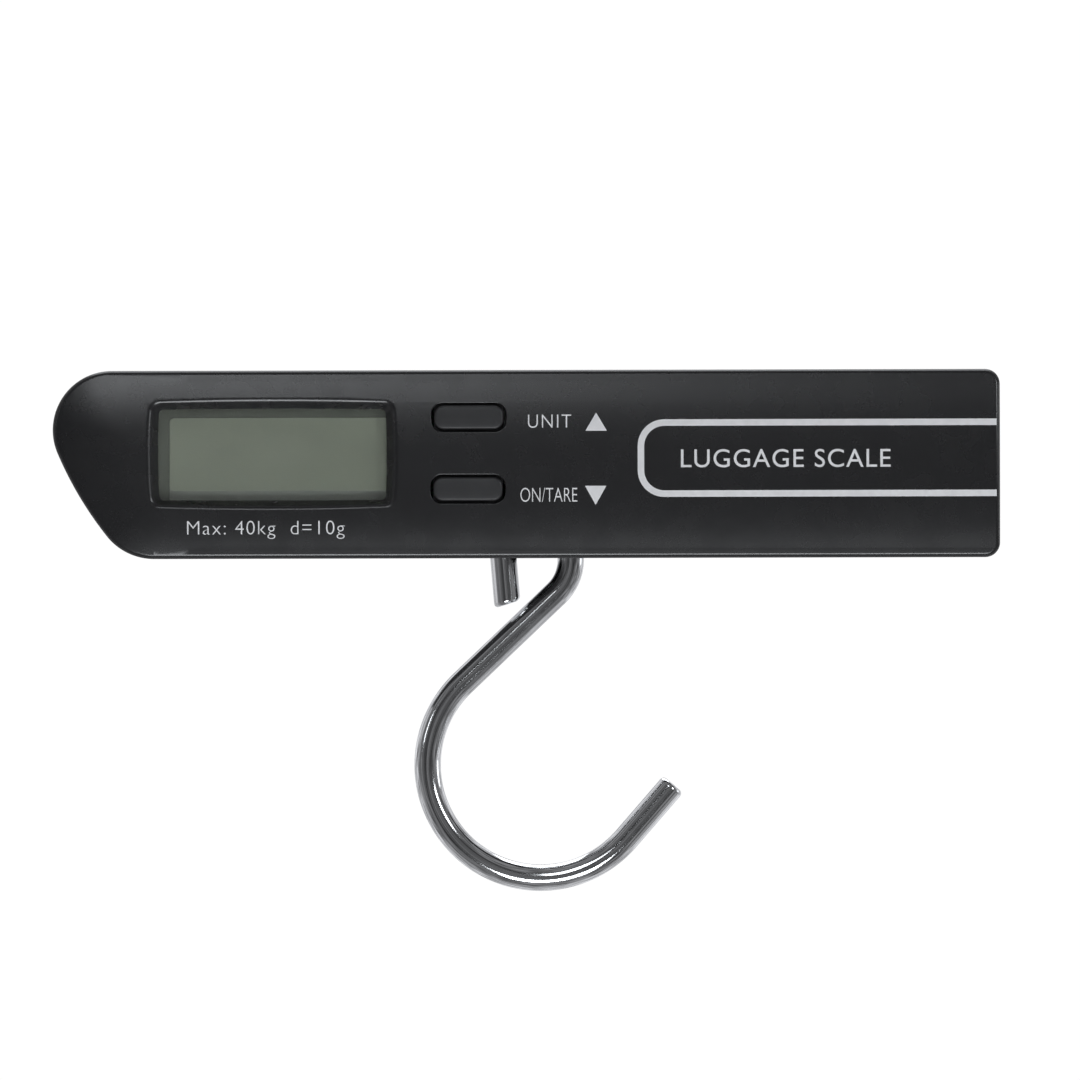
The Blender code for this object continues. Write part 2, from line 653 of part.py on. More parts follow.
def coil(turns=4, first=2.2, last=3.2, length=4.9, steps=9):
    """The centre line of a contact spring along +X, widening towards its end."""
    points = []
    for i in range(turns * steps + 1):
        share = i / (turns * steps)
        angle = 2 * math.pi * i / steps
        radius = first + (last - first) * share
        points.append((length * share, radius * math.cos(angle), radius * math.sin(angle)))
    return points


def batteries():
    upper_z, lower_z = CELL_Z
    cell = [(0, 0), (2.6, 0), (2.6, 0.8), (4.8, 0.8), (CELL_R, 1.2)]
    cell += [(CELL_R, CELL_LENGTH - 0.4), (4.8, CELL_LENGTH), (0, CELL_LENGTH)]
    cell_mesh = to_mesh("cell", turned(cell, "X"))
    cell_mesh.materials.append(CELL)
    place("battery_upper", cell_mesh, (23.6, CELL_Y, upper_z))
    place("battery_lower", cell_mesh, (73.9, CELL_Y, lower_z), 180)
    spring_mesh = to_mesh("spring", tube(coil(), 0.3))
    spring_mesh.materials.append(STEEL)
    place("contact_spring_upper", spring_mesh, (68.7, CELL_Y, upper_z))
    place("contact_spring_lower", spring_mesh, (28.8, CELL_Y, lower_z), 180)
    tab = [(6.8, -4), (6.8, 4), (-1.7, 4), (-1.7, 1), (-4.2, 1), (-4.2, -1), (-1.7, -1), (-1.7, -4)]
    contact_mesh = to_mesh("contact", plate([tab], 0, 0.5, "X"))
    contact_mesh.materials.append(STEEL)
    place("contact_plate_upper", contact_mesh, (22.8, 0, upper_z))
    place("contact_plate_lower", contact_mesh, (22.8, 0, lower_z))
    piece("contact_bridge", box((74.2, -1.7, lower_z - 4), (74.7, 6.8, upper_z + 4)), STEEL)


def wiring():
    routes = {
        "load_cell_cable": (
            GREY_WIRE, 0.8,
            ((-14, 0, -16.9), (-21, -0.3, -17.3), (-27, -1.4, -18.4), (-30.4, -3.7, -19.2)),
        ),
        "battery_lead_red": (
            RED_WIRE, 0.65,
            ((23, -4.9, -10.3), (19, -7.6, -11.6), (8, -8.8, -13.9), (-3, -8.6, -14.3), (-7.2, -6.5, -14)),
        ),
        "battery_lead_black": (
            BLACK_WIRE, 0.65,
            ((23, -4.9, -21.5), (19, -7.6, -20.2), (8, -8.8, -17.6), (-3, -8.6, -16.4), (-7.2, -6.5, -16)),
        ),
    }
    for name, (finish, radius, route) in routes.items():
        path = smooth_route([Vector(point) for point in route])
        piece(name, tube(path, radius), finish)


# ---------------------------------------------------------------- screws


def screws():
    case_screw = [(0, 1.8), (2.0, 1.8), (2.5, 1.2), (2.5, 0), (1.2, 0), (1.2, -9.6), (0, -10.3)]
    pcb_screw = [(0, 1.2), (1.9, 1.2), (1.9, 0), (1.0, 0), (1.0, -5.2), (0, -5.8)]
    for name, profile, spots, y in (
        ("case_screw", case_screw, CASE_SCREWS, CASE_SEAT_Y + GAP),
        ("pcb_screw", pcb_screw, PCB_SCREWS, PCB_BACK + GAP),
    ):
        mesh = to_mesh(name, turned(profile, sides=16))
        mesh.materials.append(STEEL)
        for number, (x, z) in enumerate(spots, 1):
            place(f"{name}_{number}", mesh, (x, y, z))


front_casing()
rear_casing()
battery_cover()
display()
circuit_board()
buttons()
load_cell()
link()
hook()
batteries()
wiring()
screws()
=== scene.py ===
"""The looks of the digital luggage scale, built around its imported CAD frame.

Lengths are in millimetres until a shape becomes an object, and MM turns them into metres.
The front face looks towards -Y, the square end of the case is at +X, and +Z is up.
"""

import math

import bmesh
import bpy
from mathutils import Matrix, Vector


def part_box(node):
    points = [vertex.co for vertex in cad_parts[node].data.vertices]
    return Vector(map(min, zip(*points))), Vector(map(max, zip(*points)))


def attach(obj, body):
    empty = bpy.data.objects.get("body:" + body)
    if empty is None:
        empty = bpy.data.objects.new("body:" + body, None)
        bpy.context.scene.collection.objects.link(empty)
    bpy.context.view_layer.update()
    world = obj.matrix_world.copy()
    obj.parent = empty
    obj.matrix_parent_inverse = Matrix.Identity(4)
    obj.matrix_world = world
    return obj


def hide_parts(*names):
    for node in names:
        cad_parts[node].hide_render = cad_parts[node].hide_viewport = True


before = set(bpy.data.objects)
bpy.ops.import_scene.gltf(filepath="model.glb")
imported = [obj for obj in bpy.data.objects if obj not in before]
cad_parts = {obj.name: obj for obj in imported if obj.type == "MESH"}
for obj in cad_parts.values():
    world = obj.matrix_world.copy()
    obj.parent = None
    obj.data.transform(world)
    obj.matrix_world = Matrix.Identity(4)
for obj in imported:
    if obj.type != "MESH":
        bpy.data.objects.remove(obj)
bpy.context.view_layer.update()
MM = 0.001
# Play beside what slides or meets
GAP = 0.3
# How far a joined or cutting shape reaches past the surface that it meets, and a shorter reach
OVERLAP = 1.0
TOUCH = 0.1
# What is closer than this to a surface counts as on it
HAIR = 0.01


def span(node):
    """The lowest and highest corners of a CAD node, in millimetres."""
    low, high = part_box(node)
    return low / MM, high / MM


def middle(node):
    """The middle of a CAD node, in millimetres."""
    low, high = span(node)
    return (low + high) / 2


# Case, from the two halves of the frame
FRONT_LOW, FRONT_HIGH = span("front_casing")
REAR_LOW, REAR_HIGH = span("rear_casing")
LEFT_X, RIGHT_X = FRONT_LOW.x, FRONT_HIGH.x
HEIGHT = FRONT_HIGH.z - FRONT_LOW.z
FRONT_Y, BACK_Y = FRONT_LOW.y, REAR_HIGH.y
TONGUE_Y = FRONT_HIGH.y
REAR_RIM_Y = REAR_LOW.y
FRONT_RIM_Y = REAR_RIM_Y - GAP
WALL = 2.0
FRONT_INNER_Y = FRONT_Y + WALL
REAR_INNER_Y = BACK_Y - WALL
TONGUE_INSET = 1.3
FRONT_ROUND = 0.75
BACK_ROUND = 2.0
# The soft edges, and how far in the middle of their bend lies
EDGE_SOFT = 0.15
EDGE_BEND = EDGE_SOFT * 0.3

# Outline: three arcs that meet smoothly at the left end
TOP_ARC_R = 10.0
SIDE_ARC_R = 61.0
BOTTOM_ARC_R = 10.2
TOP_ARC_END = 202.9
CORNER_R = 2.5

# The face falls back gently towards its long edges and its left end
CROWN_REACH = 15.0
CROWN_DEPTH = 1.1
CROWN_POWER = 2.4
# The crown fades out over this depth below the face
CROWN_FADE = 1.6
# Where the face is cut across, so that it can follow the crown
CUT_PITCH = 0.9
CUTS = 14
FACE_CUTS = [start - CUT_PITCH * i for start in (-1.8, -18.5) for i in range(CUTS)]
END_CUTS = [-79.5 + 1.5 * i for i in range(15)]

# Screws, the posts in the front half and the tubes in the rear half that they go through
CASE_SCREWS = [f"case_screw_{i}" for i in range(1, 5)]
BOARD_SCREWS = [f"pcb_screw_{i}" for i in range(1, 3)]
SCREW_HOLE_R = 1.5
CASE_POST = {"end": -2.8, "radius": 2.3, "bore": (-8.9, -1.8), "bore_radius": SCREW_HOLE_R}
BOARD_POST = {"end": -6.0, "radius": 1.9, "bore": (-10.4, -4.7), "bore_radius": 1.3}
TUBE_Y = -2.5
TUBE_BORE_Y = -3.8
TUBE_R = 3.9
HEAD_SEAT_Y = 1.5
HEAD_HOLE_R = 2.8

# Display: the opening, the sloped frame round it, and two thin sheets on the glass
APERTURE = {"x": (-63.6, -25.2), "z": (-21.9, -6.55)}
FRAME = {"x": (-65.5, -23.3), "z": (-23.3, -4.9)}
FRAME_DEPTH = 1.7
FRAME_CORNER, APERTURE_CORNER = 2.0, 0.9
FRAME_BOW, APERTURE_BOW = 0.4, 0.12
# The lit area stops short of the aperture at the left and the top, where the darker display glass shows
# as a painted shadow of the frame
LIT_AREA = {"x": (-61.8, -24.0), "z": (-20.25, -8.0)}
FOOT = {"x": LIT_AREA["x"], "z": (LIT_AREA["z"][0] - 1.6, LIT_AREA["z"][0] + 1.0)}
FILM_THICK, FOOT_THICK = 0.12, 0.06

# Keys. The dome is given as (inset, rise) pairs, the stem and the flange lie behind the face.
KEY_HOLE = (12.6, 4.8)
KEY_HOLE_CORNER = 1.9
KEY_HOLE_ROUND = 0.2
KEY_SIZE = (11.7, 4.0)
KEY_CORNER = 1.6
KEY_ROUND = 0.4
KEY_DOME = ((0.7, 0.035), (1.1, 0.06), (1.5, 0.075), (1.9, 0.08))
KEY_STEM = (3.4, 3.4)
KEY_FLANGE_Y = (FRONT_Y + 2.3, FRONT_Y + 3.1)
KEY_NAMES = ("unit", "tare")

# Battery bay. Its floor is given by the two faces, the opening for a lead by depth and half width.
BAY_X = (22.5, 75.0)
BAY_Z = (-27.3, -4.5)
BAY_FLOOR = (-3.2, -2.0)
BAY_PARTITION = 20.5
LEAD_OPENING = (1.2, 1.4)

# Battery cover. The catch is given by its tip, its neck and its root, the arrow by start and length.
COVER_LOW, COVER_HIGH = span("battery_cover")
RAIL_REACH = 0.8
RAIL_Y = (COVER_LOW.y, COVER_LOW.y + 1.0)
COVER_X = (20.0, COVER_HIGH.x)
COVER_Z = (COVER_LOW.z + RAIL_REACH, COVER_HIGH.z - RAIL_REACH)
COVER_THICK = 1.8
COVER_END = 1.7
CATCH_X = (COVER_LOW.x, 20.7, 22.3)
CATCH_HALF = 1.6
GRIP_GROOVES = 5
GRIP_PITCH = 2.0
GRIP_START = COVER_X[0] + 5
GRIP_SIZE = (0.9, 0.6, 12.0)
ARROW_X = (GRIP_START + GRIP_PITCH * GRIP_GROOVES + 2.5, 4.2)
ARROW_HALF = 2.6

# Hook: an eye over the pin with a short stub, a bend, a straight shank, the bowl and the tip
WIRE_R = 2.25
EYE_R = 6.0
EYE_Z = -24.8
BEND_CENTRE = Vector((-2.1, -32.0))
BOWL_CENTRE = Vector((0.8, -66.9))
BOWL_R = 19.2
BOWL_END = -41.0
TIP_LENGTH = 12.2
STUB_TILT = 4.8
STUB_LENGTH = 14.4
STUB_SKEW = 12.6
WIRE_END_ROUND = 0.8
SLOT_HALF = (11.3, 3.25)

# Printing. A label is its name, text, left and right ends, baseline, height of its capitals,
# weight and letter spacing. An arrow is its middle, its base and its tip.
INK = 0.03
LABELS = (
    ("legend_unit", "UNIT", -1.2, 6.1, -9.8, 2.24, -0.012, 1.15),
    ("legend_tare", "ON/TARE", -2.5, 7.1, -22.3, 2.36, -0.012, 1.0),
    ("legend_capacity", "Max: 40kg", -58.8, -43.9, -27.7, 2.3, -0.014, 1.1),
    ("legend_division", "d=10g", -41.3, -32.2, -27.7, 2.3, -0.014, 1.1),
    ("legend_title", "LUGGAGE SCALE", 24.6, 60.0, -16.5, 3.0, 0.0, 1.08),
)
ARROWS = {"mark_up": (10.3, -10.3, -7.25), "mark_down": (10.2, -19.6, -22.8)}
MARK_HALF = 1.8
BAND_X = (17.3, RIGHT_X - 0.6)
BAND_Z = (-21.5, -8.4)
BAND_LINE = 1.1
BAND_CORNER = 4.5

# ---------------------------------------------------------------- outlines, as (x, z) points


def arc(centre, radius, start, end, steps):
    """Points from one angle to another, in degrees, both ends included."""
    angles = [math.radians(start + (end - start) * i / steps) for i in range(steps + 1)]
    return [(centre[0] + radius * math.cos(a), centre[1] + radius * math.sin(a)) for a in angles]


def circle(centre, radius, sides):
    """A closed circle of points."""
    return arc(centre, radius, 0, 360, sides)[:-1]


def quarter(radius, y, steps):
    """(inset, y) pairs around the edge of a face at y that looks to -Y, from the face to the side."""
    turns = [math.radians(90 * i / steps) for i in range(steps + 1)]
    return [(radius * (1 - math.sin(a)), y + radius * (1 - math.cos(a))) for a in turns]


def rounded_rect(centre, size, radius, bow=0.0, steps=8):
    """A rectangle with round corners, whose sides may swell outwards by the bow."""
    half = (size[0] / 2 - radius, size[1] / 2 - radius)
    points = []
    for turn in range(4):
        across = half[turn % 2]
        out = half[1 - turn % 2] + radius
        corner = arc((across, out - radius), radius, 0, 90, steps)
        shares = [i / 4 for i in range(3, -4, -1)] if bow else []
        side = [(across * s, out + bow * (1 - s * s)) for s in shares]
        angle = math.radians(90 * turn)
        for u, v in corner + side:
            x = centre[0] + u * math.cos(angle) - v * math.sin(angle)
            z = centre[1] + u * math.sin(angle) + v * math.cos(angle)
            points.append((x, z))
    return points


def span_rect(spans, radius, bow=0.0):
    """A rounded rectangle from its x and z spans."""
    (x0, x1), (z0, z1) = spans["x"], spans["z"]
    return rounded_rect(((x0 + x1) / 2, (z0 + z1) / 2), (x1 - x0, z1 - z0), radius, bow)


def case_outline(inset=0.0, right=None):
    """The outline of the case, moved inwards."""
    top = Vector((LEFT_X + TOP_ARC_R, -TOP_ARC_R))
    rake = math.radians(TOP_ARC_END)
    side = top - (SIDE_ARC_R - TOP_ARC_R) * Vector((math.cos(rake), math.sin(rake)))
    drop = (BOTTOM_ARC_R - HEIGHT - side.y) / (SIDE_ARC_R - BOTTOM_ARC_R)
    side_end = 180 - math.degrees(math.asin(drop))
    turn = math.radians(side_end)
    bottom = side + (SIDE_ARC_R - BOTTOM_ARC_R) * Vector((math.cos(turn), math.sin(turn)))
    x1 = RIGHT_X - inset if right is None else right
    smallest = 0.5
    corner = max(CORNER_R - inset, smallest)
    return (
        arc(top, TOP_ARC_R - inset, 90, TOP_ARC_END, 36)
        + arc(side, SIDE_ARC_R - inset, TOP_ARC_END, side_end, 10)[1:]
        + arc(bottom, BOTTOM_ARC_R - inset, side_end, 270, 20)[1:]
        + arc((x1 - corner, inset - HEIGHT + corner), corner, 270, 360, 10)
        + arc((x1 - corner, -inset - corner), corner, 0, 90, 10)
    )


def outline_sides():
    """Each side of the outline as a point and an inward direction, without the square end.

    The crown leaves out the square end, whose sides look straight to -X or nearly so.
    """
    outline = [Vector(p) for p in case_outline()]
    sides = []
    for a, b in zip(outline, outline[1:] + outline[:1]):
        inward = Vector((a.y - b.y, b.x - a.x)).normalized()
        if inward.x > -0.5:
            sides.append((a, inward))
    return sides


SIDES = outline_sides()


def crown(x, z):
    """How far the face falls back at a point."""
    spot = Vector((x, z))
    depth = min((spot - point).dot(inward) for point, inward in SIDES)
    share = max(0.0, 1 - max(depth, 0) / CROWN_REACH)
    return CROWN_DEPTH * share ** CROWN_POWER


def hook_path():
    """The centre line of the hook's wire, from the end of the stub to the tip."""
    eye = arc((0, EYE_Z), EYE_R, 180 + STUB_TILT, 0, 60)
    lean = math.radians(STUB_TILT)
    stub = Vector(eye[0]) + STUB_LENGTH * Vector((math.sin(lean), -math.cos(lean)))
    bend_r = EYE_R - BEND_CENTRE.x
    reach = BOWL_CENTRE - BEND_CENTRE
    crossing = math.acos((bend_r + BOWL_R) / reach.length)
    shank = math.degrees(math.atan2(reach.y, reach.x) + crossing)
    bend = arc(BEND_CENTRE, bend_r, 0, shank, 20)
    bowl = arc(BOWL_CENTRE, BOWL_R, shank + 180, 360 + BOWL_END, 110)
    rise = math.radians(BOWL_END)
    tip = Vector(bowl[-1]) + TIP_LENGTH * Vector((-math.sin(rise), math.cos(rise)))
    return [stub] + [Vector(p) for p in eye + bend + bowl] + [tip]


# ---------------------------------------------------------------- shapes, as bmeshes


def ring(bm, outline, y):
    """The vertices of an outline at a depth."""
    return [bm.verts.new((x, y, z)) for x, z in outline]


def wrap(bm, rings):
    """Quads between each ring of vertices and the next."""
    for one, following in zip(rings, rings[1:]):
        for i in range(len(one)):
            bm.faces.new((one[i - 1], one[i], following[i], following[i - 1]))


def fill(bm, *rings):
    """A flat sheet that closes a ring and leaves the others as holes in it."""
    edges = []
    for one in rings:
        for a, b in zip(one, one[1:] + one[:1]):
            edges.append(bm.edges.get((a, b)) or bm.edges.new((a, b)))
    bmesh.ops.triangle_fill(bm, use_beauty=True, edges=edges, normal=(0, -1, 0))


def loft(sections):
    """A closed skin over (y, outline) sections that all have the same number of points."""
    bm = bmesh.new()
    rings = [ring(bm, outline, y) for y, outline in sections]
    wrap(bm, rings)
    bm.faces.new(rings[0])
    bm.faces.new(rings[-1])
    bmesh.ops.recalc_face_normals(bm, faces=bm.faces)
    return bm


TURNED_SIDES = 48
# Vertices closer than this are one
MERGE = 0.0005

# Turns that lay a shape built along Y along another axis
AXES = {
    "X": Matrix(((0, 1, 0, 0), (1, 0, 0, 0), (0, 0, 1, 0), (0, 0, 0, 1))),
    "Y": Matrix(),
    "Z": Matrix(((1, 0, 0, 0), (0, 0, 1, 0), (0, 1, 0, 0), (0, 0, 0, 1))),
}


def plate(outline, low, high, facing="Y"):
    """A flat outline made solid: (x, z) points facing Y, (x, y) facing Z, (y, z) facing X."""
    bm = loft([(low, outline), (high, outline)])
    bm.transform(AXES[facing])
    bmesh.ops.recalc_face_normals(bm, faces=bm.faces)
    return bm


def box(low, high):
    """A block between two corners."""
    corners = [(low[0], low[2]), (high[0], low[2]), (high[0], high[2]), (low[0], high[2])]
    return plate(corners, low[1], high[1])


def turned(profile, at, along="Y"):
    """A solid turned about an axis, from (radius, height) points; its ends lie on the axis."""
    sides = TURNED_SIDES
    bm = bmesh.new()
    rings = [ring(bm, circle((0, 0), radius, sides), y) for radius, y in profile[1:-1]]
    wrap(bm, rings)
    for end, (_, y) in ((rings[0], profile[0]), (rings[-1], profile[-1])):
        tip = bm.verts.new((0, y, 0))
        for i in range(sides):
            bm.faces.new((end[i - 1], end[i], tip))
    bm.transform(Matrix.Translation(at) @ AXES[along])
    bmesh.ops.recalc_face_normals(bm, faces=bm.faces)
    return bm


def hoop(profile):
    """A closed ring turned about X from (radius, x) points."""
    bm = bmesh.new()
    rings = [ring(bm, circle((0, 0), radius, TURNED_SIDES), x) for radius, x in profile]
    wrap(bm, rings + rings[:1])
    bm.transform(AXES["X"])
    bmesh.ops.recalc_face_normals(bm, faces=bm.faces)
    return bm


def rod(centre, low, high, radius, sides=32):
    """A cylinder facing Y around an (x, z) centre."""
    return plate(circle(centre, radius, sides), low, high)


def sweep(points, radius, sides):
    """A round wire with flat ends along 3-D points."""
    bm = bmesh.new()
    rings = []
    side = Vector((0, 1, 0))
    for i, point in enumerate(points):
        along = (points[min(i + 1, len(points) - 1)] - points[max(i - 1, 0)]).normalized()
        side = (side - side.dot(along) * along).normalized()
        other = along.cross(side)
        angles = [2 * math.pi * k / sides for k in range(sides)]
        turn = [point + radius * (math.cos(a) * side + math.sin(a) * other) for a in angles]
        rings.append([bm.verts.new(p) for p in turn])
    wrap(bm, rings)
    bm.faces.new(rings[0])
    bm.faces.new(rings[-1])
    bmesh.ops.recalc_face_normals(bm, faces=bm.faces)
    return bm


def scratch(bm):
    """A helper object that holds a shape while modifiers work on it."""
    mesh = bpy.data.meshes.new("scratch")
    bm.to_mesh(mesh)
    bm.free()
    obj = bpy.data.objects.new("scratch", mesh)
    bpy.context.scene.collection.objects.link(obj)
    return obj


def evaluated(obj):
    """The shape of a scratch object with its modifiers."""
    graph = bpy.context.evaluated_depsgraph_get()
    mesh = bpy.data.meshes.new_from_object(obj.evaluated_get(graph))
    bm = bmesh.new()
    bm.from_mesh(mesh)
    bpy.data.meshes.remove(mesh)
    return bm


def combined(bm, steps):
    """A shape after a list of (operation, other shape) steps, by exact booleans."""
    base = scratch(bm)
    helpers = []
    for operation, shape in steps:
        helper = scratch(shape)
        modifier = base.modifiers.new(operation, "BOOLEAN")
        modifier.operation = operation
        modifier.object = helper
        helpers.append(helper)
    result = evaluated(base)
    for obj in [base] + helpers:
        bpy.data.objects.remove(obj)
    bmesh.ops.remove_doubles(result, verts=result.verts, dist=MERGE)
    bmesh.ops.dissolve_limit(result, angle_limit=0.002, verts=result.verts, edges=result.edges)
    return result


def soften(bm, width, where=lambda co: True, sharper_than=35):
    """Rounds the sharp edges whose two ends both pass a test."""
    edges = [
        e for e in bm.edges
        if len(e.link_faces) == 2
        and e.calc_face_angle() > math.radians(sharper_than)
        and all(where(v.co) for v in e.verts)
    ]
    bmesh.ops.bevel(
        bm, geom=edges, offset=width, segments=2, profile=0.5,
        affect="EDGES", clamp_overlap=True,
    )
    return bm


def piece(name, bm, body, look, replaced=()):
    """A visible piece that rides on a body and may stand for CAD nodes."""
    sharp = 38
    bm.transform(Matrix.Scale(MM, 4))
    mesh = bpy.data.meshes.new(name)
    bm.to_mesh(mesh)
    bm.free()
    mesh.shade_smooth()
    mesh.set_sharp_from_angle(angle=math.radians(sharp))
    mesh.materials.append(look)
    obj = bpy.data.objects.new(name, mesh)
    bpy.context.scene.collection.objects.link(obj)
    normals = obj.modifiers.new("Normals", "WEIGHTED_NORMAL")
    normals.keep_sharp = True
    normals.weight = 80
    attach(obj, body)
    if replaced:
        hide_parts(*replaced)
    return obj


# ---------------------------------------------------------------- materials


def node(tree, kind, settings=(), **inputs):
    """A shader node; an input is a value or another node's output."""
    made = tree.nodes.new(kind)
    for key, value in dict(settings).items():
        setattr(made, key, value)
    for key, value in inputs.items():
        socket = made.inputs[key.replace("_", " ")]
        if isinstance(value, bpy.types.NodeSocket):
            tree.links.new(value, socket)
        else:
            socket.default_value = value
    return made


def noise(tree, size, detail=3.0, stretch=(1, 1, 1)):
    """Noise with features of a size in millimetres, drawn out along some axes."""
    place = node(tree, "ShaderNodeTexCoord").outputs["Object"]
    scale = [1 / (size * MM * s) for s in stretch]
    place = node(tree, "ShaderNodeMapping", Vector=place, Scale=scale).outputs[0]
    return node(
        tree, "ShaderNodeTexNoise", Vector=place, Scale=1.0, Detail=detail, Roughness=0.55
    ).outputs["Fac"]


def remap(tree, value, low, high, to_low=0.0, to_high=1.0):
    """A value moved from one range to another, and held at its ends."""
    return node(
        tree, "ShaderNodeMapRange", Value=value,
        From_Min=low, From_Max=high, To_Min=to_low, To_Max=to_high,
    ).outputs[0]


def maths(tree, operation, a, b):
    """A sum or product of two values or outputs."""
    made = node(tree, "ShaderNodeMath", {"operation": operation})
    for socket, value in zip(made.inputs, (a, b)):
        if isinstance(value, bpy.types.NodeSocket):
            tree.links.new(value, socket)
        else:
            socket.default_value = value
    return made.outputs[0]


def blend(tree, share, a, b):
    """One colour turning into another by a share."""
    made = node(tree, "ShaderNodeMix", {"data_type": "RGBA"})
    for index, value in ((0, share), (6, a), (7, b)):
        if isinstance(value, bpy.types.NodeSocket):
            tree.links.new(value, made.inputs[index])
        else:
            made.inputs[index].default_value = value if index == 0 else (*value, 1.0)
    return made.outputs[2]


def edge_wear(tree, radius):
    """A share that is high along convex and concave edges, broken up by noise."""
    smooth = node(tree, "ShaderNodeBevel", {"samples": 4}, Radius=radius * MM).outputs[0]
    normal = node(tree, "ShaderNodeNewGeometry").outputs["Normal"]
    dot = node(tree, "ShaderNodeVectorMath", {"operation": "DOT_PRODUCT"})
    tree.links.new(smooth, dot.inputs[0])
    tree.links.new(normal, dot.inputs[1])
    edge = remap(tree, dot.outputs["Value"], 0.99, 0.9)
    patches = remap(tree, noise(tree, 2.5), 0.4, 0.65, 0.25, 1.0)
    return maths(tree, "MULTIPLY", edge, patches)


def finish(
    name, colour, roughness, metallic=0.0, vary=0.12, patch=6.0, spread=0.05, grain=0.15,
    depth=0.002, stretch=(1, 1, 1), wear=0.3, worn=None, worn_rough=-0.08, scratches=0.0, **sockets,
):
    """A procedural surface: mottled colour, uneven gloss, worn edges, scratches and a fine grain.

    Lengths are in millimetres. vary is the share by which the colour moves, patch the size of
    its patches and spread how far the roughness moves. grain and depth are the width and height
    of the fine bumps, and wear is how far worn edges reach. worn is the colour of those edges and
    worn_rough what they add to the roughness.
    """
    material = bpy.data.materials.new(name)
    material.use_nodes = True
    tree = material.node_tree
    shader = tree.nodes["Principled BSDF"]
    shader.inputs["Metallic"].default_value = metallic
    for key, value in sockets.items():
        shader.inputs[key.replace("_", " ")].default_value = value
    mottle = remap(tree, noise(tree, patch), 0.3, 0.7)
    surface = blend(tree, mottle, [c * (1 - vary) for c in colour], [c * (1 + vary) for c in colour])
    edge = edge_wear(tree, wear)
    worn = worn or [c * 1.5 + 0.01 for c in colour]
    surface = blend(tree, maths(tree, "MULTIPLY", edge, 0.5), surface, worn)
    cloudy = noise(tree, patch * 0.35, 4.0)
    gloss = remap(tree, cloudy, 0.3, 0.7, roughness - spread, roughness + spread)
    gloss = maths(tree, "ADD", gloss, maths(tree, "MULTIPLY", edge, worn_rough))
    if scratches:
        lines = remap(tree, noise(tree, 0.15, 2.0, (30, 1, 1.5)), 0.66, 0.74)
        gloss = maths(tree, "ADD", gloss, maths(tree, "MULTIPLY", lines, scratches))
    height = noise(tree, grain, 2.0, stretch)
    bump = node(tree, "ShaderNodeBump", Strength=0.6, Distance=depth * MM, Height=height)
    tree.links.new(surface, shader.inputs["Base Color"])
    tree.links.new(gloss, shader.inputs["Roughness"])
    tree.links.new(bump.outputs[0], shader.inputs["Normal"])
    return material


def clear_finish():
    """Clear plastic that bends the view a little and lets the lamps through to what is behind."""
    material = finish("clear_window", (0.93, 0.95, 0.93), 0.06, vary=0.02, spread=0.02, depth=0.0005)
    tree = material.node_tree
    shader = tree.nodes["Principled BSDF"]
    shader.inputs["Transmission Weight"].default_value = 1.0
    shader.inputs["IOR"].default_value = 1.49
    open_way = node(tree, "ShaderNodeBsdfTransparent")
    shadow = node(tree, "ShaderNodeLightPath").outputs["Is Shadow Ray"]
    mix = node(tree, "ShaderNodeMixShader")
    for socket, source in zip(mix.inputs, (shadow, shader.outputs[0], open_way.outputs[0])):
        tree.links.new(source, socket)
    tree.links.new(mix.outputs[0], tree.nodes["Material Output"].inputs["Surface"])
    return material


def board_finish():
    """Green solder mask over copper tracks that run along X and Z."""
    material = finish("green_board", (0.012, 0.09, 0.03), 0.32, vary=0.15, patch=9, depth=0.004)
    tree = material.node_tree
    shader = tree.nodes["Principled BSDF"]
    mask = shader.inputs["Base Color"].links[0].from_socket
    place = node(tree, "ShaderNodeTexCoord").outputs["Object"]
    place = node(tree, "ShaderNodeMapping", Vector=place, Scale=[1 / (2.2 * MM)] * 3).outputs[0]
    cells = node(
        tree, "ShaderNodeTexVoronoi", {"distance": "MANHATTAN", "feature": "F2"},
        Vector=place, Scale=1.0,
    ).outputs["Distance"]
    track = remap(tree, maths(tree, "PINGPONG", cells, 0.2), 0.08, 0.1)
    surface = blend(tree, track, (0.03, 0.2, 0.07), (0.01, 0.075, 0.025))
    tree.links.new(surface, shader.inputs["Base Color"])
    tree.nodes.remove(mask.node)
    return material


CASING = finish(
    "black_casing", (0.008, 0.008, 0.009), 0.27, vary=0.10, patch=14, spread=0.015,
    grain=0.18, depth=0.0007, wear=0.25, worn=(0.02, 0.02, 0.021), worn_rough=-0.05, scratches=0.004,
    Specular_IOR_Level=0.75,
)
KEY = finish(
    "black_button", (0.022, 0.022, 0.0235), 0.42, vary=0.1, patch=5, spread=0.03,
    grain=0.12, depth=0.002, wear=0.2, worn=(0.035, 0.035, 0.037),
)
INK_GREY = finish(
    "print_grey", (0.71, 0.71, 0.72), 0.5, vary=0.05, patch=1.2, grain=0.1, depth=0.004,
)
CLEAR = clear_finish()
# Dark glass whose colour, where it shows round the lit area, is a painted shadow of the frame
SHADOWED_GLASS = finish("display_glass", (0.061, 0.065, 0.054), 0.2, vary=0.05, patch=12, wear=0.2)
FILM = finish(
    "display_film", (0.124, 0.135, 0.102), 0.38, vary=0.025, patch=16, grain=0.08, depth=0.001,
)
FILM_FOOT = finish("display_foot", (0.105, 0.111, 0.096), 0.38, vary=0.03, patch=9, grain=0.08)
WHITE = finish("white_plastic", (0.72, 0.72, 0.69), 0.45)
RUBBER = finish("grey_rubber", (0.09, 0.09, 0.1), 0.75, grain=0.08, depth=0.006)
BOARD = board_finish()
EPOXY = finish("black_epoxy", (0.012, 0.012, 0.012), 0.22, patch=2.0)
CHROME = finish(
    "chrome_wire", (0.76, 0.77, 0.78), 0.11, 1.0, vary=0.1, patch=5, spread=0.015,
    grain=3.5, depth=0.0004, wear=0.3, worn=(0.7, 0.7, 0.7), worn_rough=0.05,
)
